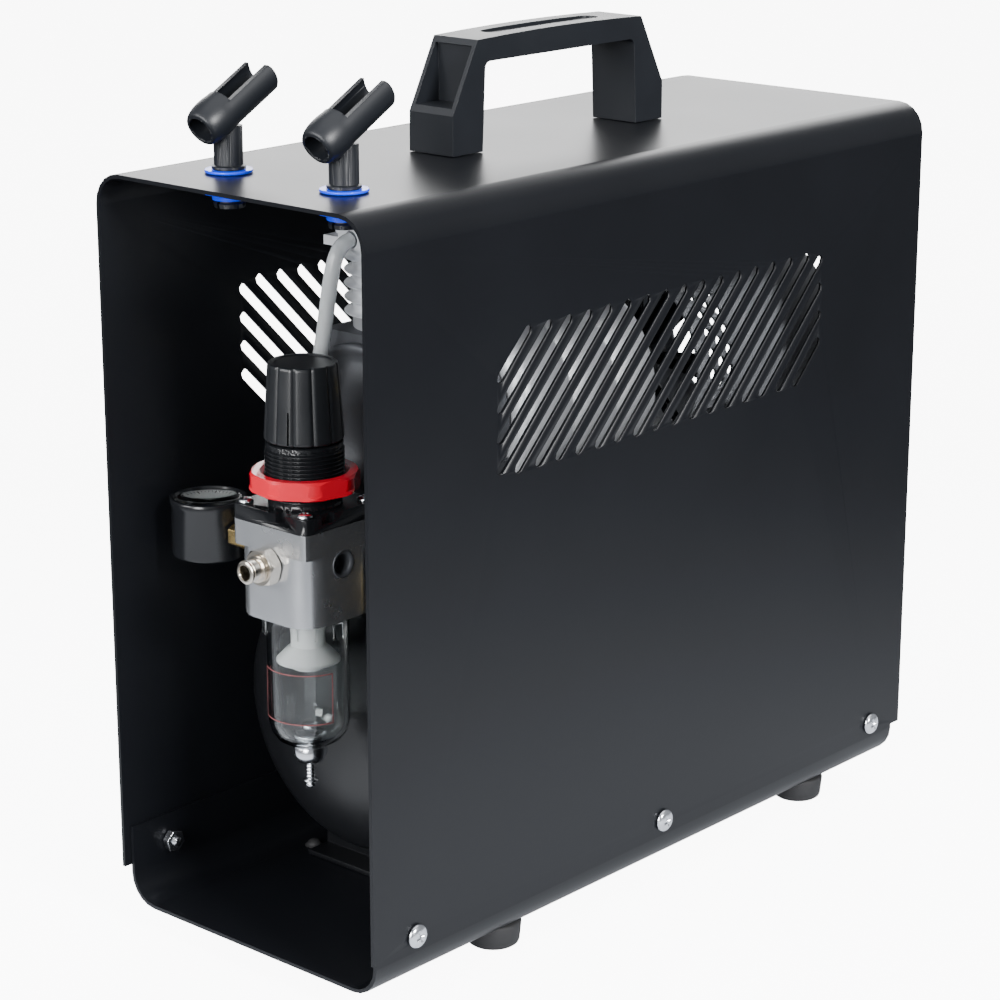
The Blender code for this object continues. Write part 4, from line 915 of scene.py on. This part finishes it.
# %% Bowl and its lugs
bowl_low, bowl_high = heights("filter_bowl")
WALL = 1.9
BOWL_OUTER = [(16.6, bowl_high), (16.6, bowl_high - 4.6), (15.6, bowl_high - 6.0),
              (15.4, bowl_high - 9), (15.2, bowl_low + 17), (15.1, bowl_low + 10.0),
              (14.3, bowl_low + 6.2), (12.3, bowl_low + 3.1), (9.4, bowl_low + 1.2),
              (6.4, bowl_low + 0.3), (4.6, bowl_low)]
BOWL_INNER = [(4.6, bowl_low + WALL), (6.2, bowl_low + WALL + 0.3), (8.8, bowl_low + WALL + 1.2),
              (11.3, bowl_low + WALL + 2.9), (12.7, bowl_low + 7.0), (13.2, bowl_low + 10.4),
              (13.3, bowl_low + 17), (13.6, bowl_high - 8), (13.6, bowl_high)]
bowl = lathe(BOWL_OUTER + BOWL_INNER, upright, 96, ring=True)
stand_in("filter_bowl", "water_bowl", bowl)
lugs = []
for turn in (-122, -2, 118):
    lug_turn = Matrix.Rotation(math.radians(turn), 4, "Z")
    lugs.append(block((1.0, 4.6, 6.0), upright @ lug_turn @ seat_at(16.2, 0, bowl_high - 9.2)))
file_edges(fit("bowl_lugs", bundle(*lugs), "case", slot="clear_plastic"), 0.3)
print("bowl with", len(lugs), "lugs")

# %% Filter, baffle and label border
baffle_low, baffle_high = heights("filter_baffle")
cartridge = lathe([(0, baffle_high), (6.0, baffle_high), (6.4, baffle_high - 0.5), (6.4, baffle_high - 14.6),
                   (8.2, baffle_high - 15.8), (11.2, baffle_high - 19.0), (11.8, baffle_high - 19.5),
                   (11.8, baffle_high - 20.5), (11.2, baffle_high - 20.9), (6.2, baffle_high - 20.9),
                   (6.0, baffle_high - 23.6), (0, baffle_high - 23.6)], upright, 72)
slots = []
for index in range(6):
    turn = Matrix.Rotation(math.radians(60 * index - 79), 4, "Z")
    slots.append(block((2.6, 1.0, 8.6), upright @ turn @ seat_at(6.6, 0, baffle_high - 7.6)))
file_edges(stand_in("filter_baffle", "filter_cartridge", saw(cartridge, *slots)), 0.2, 1, 40)

border = Finish("faded_red_ink")
ink = border.noise(900, 3)
border.shade(Base_Color=border.blend(ink, (0.16, 0.04, 0.045), (0.30, 0.09, 0.09)),
             Roughness=ink * 0.2 + 0.45)
LABEL_TURN = math.radians(-68)
LABEL_HALF = math.radians(58)
LABEL_LOW, LABEL_HIGH = bowl_low + 12.5, bowl_low + 32.0
LINE = 0.42


def wrapped_strip(start, end, low, high, radius=15.45):
    """A thin strip round the bowl between two angles and two heights."""
    bm = bmesh.new()
    steps = max(1, int(abs(end - start) / math.radians(4)))
    first = [bm.verts.new((radius * math.cos(start), radius * math.sin(start), z)) for z in (low, high)]
    edge = bm.edges.new(first)
    bmesh.ops.spin(bm, geom=first + [edge], cent=(0, 0, 0), axis=(0, 0, 1), angle=end - start, steps=steps)
    bmesh.ops.solidify(bm, geom=bm.faces[:], thickness=0.08)
    return close_up(bm, upright)


start, end = LABEL_TURN - LABEL_HALF, LABEL_TURN + LABEL_HALF
line_turn = LINE / 15.4
strips = [wrapped_strip(start, end, LABEL_LOW, LABEL_LOW + LINE),
          wrapped_strip(start, end, LABEL_HIGH - LINE, LABEL_HIGH),
          wrapped_strip(start, start + line_turn, LABEL_LOW, LABEL_HIGH),
          wrapped_strip(end - line_turn, end, LABEL_LOW, LABEL_HIGH)]
fit("label_border", bundle(*strips), "case", border)
print("filter cartridge and a blank label border")

# %% Drain collar and pin
collar_low, collar_high = heights("drain_collar")
collar = lathe([(2.0, collar_high), (6.2, collar_high), (6.4, collar_high - 0.2),
                (6.4, collar_high - 1.8), (4.3, collar_high - 1.8), (4.3, collar_high - 4.7),
                (6.2, collar_high - 4.7), (6.4, collar_high - 4.9), (6.4, collar_low + 3.2),
                (6.0, collar_low + 2.2), (4.9, collar_low + 0.4), (4.3, collar_low),
                (2.0, collar_low)], upright, 64, ring=True)
stand_in("drain_collar", "drain_nut", collar)
pin_low, pin_high = heights("drain_pin")
ribs = []
height = pin_low + 4.2
while height < pin_low + 9.5:
    ribs += [(1.5, height), (1.85, height + 0.25), (1.85, height + 0.6), (1.5, height + 0.85)]
    height += 1.35
pin = [(0, pin_low), (0.9, pin_low), (1.6, pin_low + 0.5), (2.0, pin_low + 1.3),
       (1.6, pin_low + 2.2), (1.1, pin_low + 2.6), (2.9, pin_low + 2.9), (2.9, pin_low + 3.2),
       (1.5, pin_low + 3.5)] + ribs
pin += [(1.6, height), (1.6, pin_high - 1.6), (3.0, pin_high - 1.6), (3.0, pin_high), (0, pin_high)]
stand_in("drain_pin", "drain_stem", lathe(pin, upright, 40))
print("drain nut and stem")

# %% [markdown]
# ## Air tank
# The tank is a rolled tube between two pressed, dished ends, with a weld bead at each seam.
# Its profile is turned whole, and the beads are two low rings on it. The brackets are bent
# plate, so they keep their CAD shape with filed edges.

# %% Tank, beads and brackets
tank_low, tank_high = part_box("air_tank")
tank = middle("air_tank")
RADIUS = 55.0
HALF = (tank_high.y - tank_low.y) / 2 / MM
tank_seat = seat_at(tank.x, tank.y, tank.z, FORWARD)
DOME = 12.0
dome = [(RADIUS * math.sin(math.radians(angle)) ** 0.62,
         HALF - DOME + DOME * math.cos(math.radians(angle)))
        for angle in (0, 4, 9, 15, 22, 30, 38, 46, 54, 62, 70, 78, 85, 90)]
seam = HALF - DOME
bead = [(RADIUS, seam - 2.0), (RADIUS - 0.5, seam - 2.6), (RADIUS - 0.05, seam - 3.4)]


def both_ends(half_profile):
    """A profile's front half, followed by its mirror image towards the rear."""
    return half_profile + [(radius, -height) for radius, height in reversed(half_profile)]


stand_in("air_tank", "painted_tank", lathe(both_ends(dome + bead), tank_seat, 128))
for end in ("front", "rear"):
    node = f"tank_bracket_{end}"
    file_edges(stand_in(node, f"tank_saddle_{end}", cleaned(node)), 0.4)
print("tank", round(2 * HALF), "mm long")

# %% Brass and zinc fittings
FITTINGS = (("feed_elbow", "feed_elbow_brass", 0.3), ("check_valve", "check_valve_brass", 0.4),
            ("safety_valve", "safety_valve_brass", 0.4), ("drain_cock", "drain_cock_brass", 0.4),
            ("safety_ring", "safety_pull_ring", 0.15), ("drain_lever", "drain_lever_zinc", 0.3))


def file_copies(parts):
    """Fits a copy of each CAD part with its edges filed by its own width."""
    for node, name, width in parts:
        file_edges(stand_in(node, name, cleaned(node)), width, 2, 38)


file_copies(FITTINGS)
print(len(FITTINGS), "fittings on the tank and its air line")

# %% [markdown]
# ## Pump
# The pump's crankcase and covers are cast and painted grey, its barrel and head are bare
# aluminium with cooling fins. Fins are what gives a pump its look, so barrel and head are
# made anew with thin fins, a gasket line between them and three screws on top.

# %% Mount, crankcase and front cover
file_copies((("pump_mount", "pump_channel", 0.4), ("rubber_pad", "pump_pad", 0.6),
             ("crankcase", "pump_crankcase", 0.8), ("motor_cradle", "motor_saddle", 0.8),
             ("piston_rod", "piston_and_rod", 0.3), ("crankshaft", "crank_and_shaft", 0.3)))
lid = middle("crankcase_cover")
lid_seat = seat_at(lid.x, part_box("crankcase_cover")[0].y / MM, lid.z, FORWARD)
lid_profile = [(0, -1.0), (9.0, -1.0), (10.0, -0.2), (25.5, -0.2), (26.5, -1.2), (30.5, -1.2),
               (31.5, 0), (33.4, -0.1), (34.0, -0.8), (34.0, -4.0), (27.2, -4.0), (27.2, -6.2),
               (0, -6.2)]
stand_in("crankcase_cover", "crankcase_lid", lathe(lid_profile, lid_seat, 96))
for index, (x, y) in enumerate(ring_points(28.5, 4, 45)):
    screw = pan_head(3.1, 1.9, lid_seat @ seat_at(x, y, -1.4), 3.0)
    fit(f"lid_screw_{index + 1}", screw, "case", yellow)
print("crankcase lid with four yellow screws")

# %% Barrel and head
barrel_low, barrel_high = heights("cylinder")
barrel_seat = seat_at(0, middle("cylinder").y, 0)
fin_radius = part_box("cylinder")[1].x / MM
wall_radius = fin_radius - 3.2
BARREL_FINS = 5
FIN_STEP = 5.2
barrel = [(16.0, barrel_high), (fin_radius - 2, barrel_high), (fin_radius - 2, barrel_high - 2.2),
          (wall_radius, barrel_high - 2.6)]
for index in range(BARREL_FINS):
    fin = barrel_high - FIN_STEP - FIN_STEP * index
    barrel += [(wall_radius, fin + 1.3), (fin_radius - 0.3, fin + 1.0), (fin_radius, fin + 0.7),
               (fin_radius - 0.3, fin + 0.3), (wall_radius, fin)]
barrel += [(wall_radius, barrel_low + 4), (16.6, barrel_low + 4), (16.6, barrel_low), (16.0, barrel_low)]
stand_in("cylinder", "finned_barrel", lathe(barrel, barrel_seat, 96, ring=True))
head_low, head_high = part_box("cylinder_head")
head_size = (head_high - head_low) / MM
head_middle = middle("cylinder_head")
head_seat = seat_at(head_middle.x, head_middle.y, head_low.z / MM)
BASE_HEIGHT = 3.6
head = block((head_size.x, head_size.y, BASE_HEIGHT), head_seat @ seat_at(0, 0, BASE_HEIGHT / 2))
HEAD_FINS = 6
fin_pitch = (head_size.x - 3) / (HEAD_FINS - 1)
fin_middle = (head_size.z + BASE_HEIGHT - 0.4) / 2
fins = []
for index in range(HEAD_FINS):
    across = fin_pitch * (index - (HEAD_FINS - 1) / 2)
    fins.append(block((1.6, head_size.y - 7, head_size.z - BASE_HEIGHT + 0.4),
                      head_seat @ seat_at(across, 2.0, fin_middle)))
HOSE_X, HOSE_TOP = -4, 269.3
boss_height = head_size.z - 1.0
boss = block((13, 9, boss_height),
             head_seat @ seat_at(HOSE_X, -head_size.y / 2 + 4.5, boss_height / 2))
socket = lathe([(0, 1), (3.3, 1), (3.3, -10), (0, -10)],
               seat_at(HOSE_X, head_low.y / MM, HOSE_TOP, FORWARD), 32)
head = saw(saw(head, *fins, boss, operation="UNION"), socket)
file_edges(stand_in("cylinder_head", "finned_head", head), 0.3, 1, 50)
reach_x, reach_y = head_size.x / 2 - 4.0, head_size.y / 2 - 3.0
for index, (sx, sy) in enumerate(CORNERS):
    if sy > 0 or sx > 0:        # the hose's boss takes the place of the left front screw
        spot = head_seat @ seat_at(sx * reach_x, sy * reach_y, BASE_HEIGHT + 0.1)
        fit(f"head_screw_{index + 1}", pan_head(2.6, 1.8, spot, 3.0), "case", slot="bright_zinc")
print("barrel with", BARREL_FINS, "fins, head with", HEAD_FINS)

# %% [markdown]
# ## Motor, fan and cowl
# The motor is a deep-drawn aluminium can along the case. Drawing leaves faint rings round
# it, which its finish repeats. Behind it a fan blows through a grey cowl with round holes,
# and the light that comes through those holes shows between the slots of the cover.

# %% Motor can
motor_low, motor_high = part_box("motor_can")
motor = middle("motor_can")
half = (motor_high.y - motor_low.y) / 2 / MM
motor_seat = seat_at(motor.x, motor.y, motor.z, FORWARD)
rim = [(4.3, half), (14.0, half), (14.6, half - 0.8), (30.0, half - 0.8), (31.0, half),
       (37.0, half), (39.4, half - 0.8), (41.2, half - 2.4), (42.0, half - 5.0)]
belt = [(42.0, 14.0), (41.6, 13.6), (41.6, 12.4), (42.0, 12.0)]
stand_in("motor_can", "drawn_motor_can", lathe(both_ends(rim + belt), motor_seat, 128, ring=True))
print("motor can", round(2 * half), "mm long")

# %% Fan with curved blades
fan = middle("cooling_fan")
fan_seat = seat_at(fan.x, fan.y, fan.z, FORWARD)
hub = lathe([(4.3, 5.0), (9.4, 5.0), (10.6, 4.4), (11.0, 3.4), (11.0, -5.0), (4.3, -5.0)],
            fan_seat, 48, ring=True)
BLADES = 7
STEPS_OUT, STEPS_ACROSS = 8, 6
FAN_HALF = 4.9


def blade(seat):
    """One blade: rows of points from the hub outwards, flatter and wider towards the tip."""
    bm = bmesh.new()
    rows = []
    for step in range(STEPS_OUT + 1):
        radius = 10.4 + 24.4 * step / STEPS_OUT
        pitch = math.radians(44 - 20 * step / STEPS_OUT)
        row = []
        for part in range(STEPS_ACROSS + 1):
            across = (part / STEPS_ACROSS - 0.5) * (9.5 + 4.5 * step / STEPS_OUT)
            bow = 1.6 * (1 - (2 * part / STEPS_ACROSS - 1) ** 2)
            sweep = across * math.cos(pitch) + bow * math.sin(pitch)
            lift = across * math.sin(pitch) - bow * math.cos(pitch)
            row.append(bm.verts.new((radius, sweep, max(-FAN_HALF, min(FAN_HALF, lift)))))
        rows.append([bm.edges.new(pair) for pair in zip(row, row[1:])])
    for inner, outer in zip(rows, rows[1:]):
        bmesh.ops.bridge_loops(bm, edges=inner + outer)
    bmesh.ops.recalc_face_normals(bm, faces=bm.faces)
    bmesh.ops.solidify(bm, geom=bm.faces[:], thickness=1.2)
    return close_up(bm, seat)


blades = []
for index in range(BLADES):
    around = Matrix.Rotation(math.tau * index / BLADES, 4, "Z")
    blades.append(blade(fan_seat @ around))
stand_in("cooling_fan", "seven_blade_fan", bundle(hub, *blades))
print("fan with", BLADES, "blades")

# %% Cowl
cowl_low, cowl_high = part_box("fan_cowl")
cowl = middle("fan_cowl")
cowl_half = (cowl_high.y - cowl_low.y) / 2 / MM
cowl_seat = seat_at(cowl.x, cowl.y, cowl.z, FORWARD)
NECK_RADIUS, REAR_RADIUS = 43.0, 47.0
COWL_WALL = 1.8
shell = [(NECK_RADIUS - COWL_WALL, cowl_half), (NECK_RADIUS - 0.4, cowl_half),
         (NECK_RADIUS, cowl_half - 0.5), (NECK_RADIUS, cowl_half - 24),
         (NECK_RADIUS + 0.5, cowl_half - 26.5), (NECK_RADIUS + 2, cowl_half - 30),
         (REAR_RADIUS - 0.5, cowl_half - 33.5), (REAR_RADIUS, cowl_half - 36),
         (REAR_RADIUS, 2 - cowl_half), (REAR_RADIUS - 0.6, 0.6 - cowl_half),
         (REAR_RADIUS - 2, -cowl_half), (REAR_RADIUS - 6, -cowl_half),
         (REAR_RADIUS - 6, COWL_WALL - cowl_half), (REAR_RADIUS - COWL_WALL, COWL_WALL - cowl_half),
         (REAR_RADIUS - COWL_WALL, cowl_half - 36), (NECK_RADIUS - 1.3, cowl_half - 27),
         (NECK_RADIUS - COWL_WALL, cowl_half - 24)]
HOLES_ROUND = 32
holes = []
for row, half_step in ((9.0, 0.0), (14.5, 0.5), (20.0, 0.0)):
    for index in range(HOLES_ROUND):
        around = Matrix.Rotation(math.tau * (index + half_step) / HOLES_ROUND, 4, "Y")
        at_row = seat_at(cowl.x, cowl_low.y / MM + row, cowl.z)
        holes.append(punch(ring_points(2.3, 12), 34, 50, at_row @ around))
stand_in("fan_cowl", "grey_cowl", saw(lathe(shell, cowl_seat, 128, ring=True), bundle(*holes)), cowl_paint)
print("cowl with", len(holes), "air holes")

# %% [markdown]
# ## Hose and switch
# The clear hose from the pump's head to the tank is held at both ends, so it is one smooth
# sweep. A curve with a round section makes it, and is then turned into a mesh. At the rear
# the pressure switch has a rocker, a cable gland with a sealing nut, and a nipple to the
# tank.

# %% Clear hose
HOSE_POINTS = ((HOSE_X, -99.5, HOSE_TOP), (HOSE_X, -104.5, 268.6), (-4.5, -108.2, 262),
               (-7, -108.8, 245), (-12, -108.6, 220), (-22, -109, 194), (-31, -106.5, 170),
               (-30, -96, 157))
valve = middle("check_valve")
hose_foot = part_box("air_hose")[0].z / MM
hose_curve = bpy.data.curves.new("hose_line", "CURVE")
hose_curve.dimensions = "3D"
hose_curve.bevel_depth = 2.9 * MM
hose_curve.bevel_resolution = 5
hose_curve.resolution_u = 8
spline = hose_curve.splines.new("NURBS")
route = [Vector(point) for point in HOSE_POINTS]
route += [Vector((valve.x, valve.y, hose_foot + height)) for height in (3, 0)]
spline.points.add(len(route) - 1)
for point, place in zip(spline.points, route):
    point.co = (*(place * MM), 1)
spline.use_endpoint_u = True
spline.order_u = 4
hose_curve.use_fill_caps = True
hose_line = bpy.data.objects.new("hose_line", hose_curve)
bpy.context.scene.collection.objects.link(hose_line)
graph = bpy.context.evaluated_depsgraph_get()
hose_mesh = bpy.data.meshes.new_from_object(hose_line.evaluated_get(graph))
bpy.data.objects.remove(hose_line)
stand_in("air_hose", "clear_air_hose", hose_mesh, milky)
print("clear hose through", len(route), "points")

# %% Pressure switch and rocker
BACKWARD = Matrix.Rotation(math.radians(-90), 4, "X")        # a piece's Z looks out of the rear
switch = middle("pressure_switch")
REAR_FACE = 154.0
GLAND_X, GLAND_Z = 9.0, 76.0
stem_seat = seat_at(GLAND_X, REAR_FACE, GLAND_Z, BACKWARD)
box = soft_block((44, 24, 48), 2.2, seat_at(switch.x, REAR_FACE - 12, switch.z))
lid_line = saw(block((46, 1.0, 50), seat_at(switch.x, REAR_FACE - 8, switch.z)),
               block((42.6, 3.0, 46.6), seat_at(switch.x, REAR_FACE - 8, switch.z)))
gland_stem = lathe([(0, -8), (6.5, -8), (6.5, 7.4), (5.9, 8), (0, 8)], stem_seat, 40)
NIPPLE_Y = 125
nipple = lathe([(0, 9.5), (3.9, 9.5), (3.9, 4), (6.2, 3.6), (6.2, -3.6), (3.9, -4), (3.9, -9.5),
                (0, -9.5)], seat_at(switch.x, NIPPLE_Y, switch.z, FORWARD), 40)
ROCKER_X, ROCKER_Z = -8, 96
recess = block((14, 20, 16), seat_at(ROCKER_X, REAR_FACE, ROCKER_Z))
gland_bore = punch(ring_points(3.2, 32), -14, 12, stem_seat)
box = saw(saw(box, gland_stem, nipple, operation="UNION"), lid_line, recess, gland_bore)
file_edges(stand_in("pressure_switch", "switch_box", box), 0)
rocker = stand_in("power_rocker", "switch_rocker", cleaned("power_rocker"))
file_edges(rocker, 0.5, 2, 20)
gland_seat = seat_at(GLAND_X, REAR_FACE + 8, GLAND_Z, BACKWARD)
gland = lathe([(3.4, 0), (3.4, 2.6), (4.6, 2.8), (6.2, 1.6), (6.4, 0.9), (6.4, 0)], gland_seat, 40,
              ring=True)
fit("gland_nut", gland, "case", slot="black_plastic")
print("switch box, rocker and gland")

# %% [markdown]
# ## The rest of the machine
# What is left are four CAD parts that hardly show, and whose shape is already right. They
# keep their own mesh, and take the finish of their slot in place of their flat colour.

# %% Finish the carried-over parts
carried = [name for name, node in frame["nodes"].items() if not node.hide_render]
for name in carried:
    node = frame["nodes"][name]
    for material_slot in node.material_slots:
        material_slot.material = FINISH[SLOT_OF[name]].material
print(len(carried), "CAD parts keep their own mesh:", ", ".join(sorted(carried)))
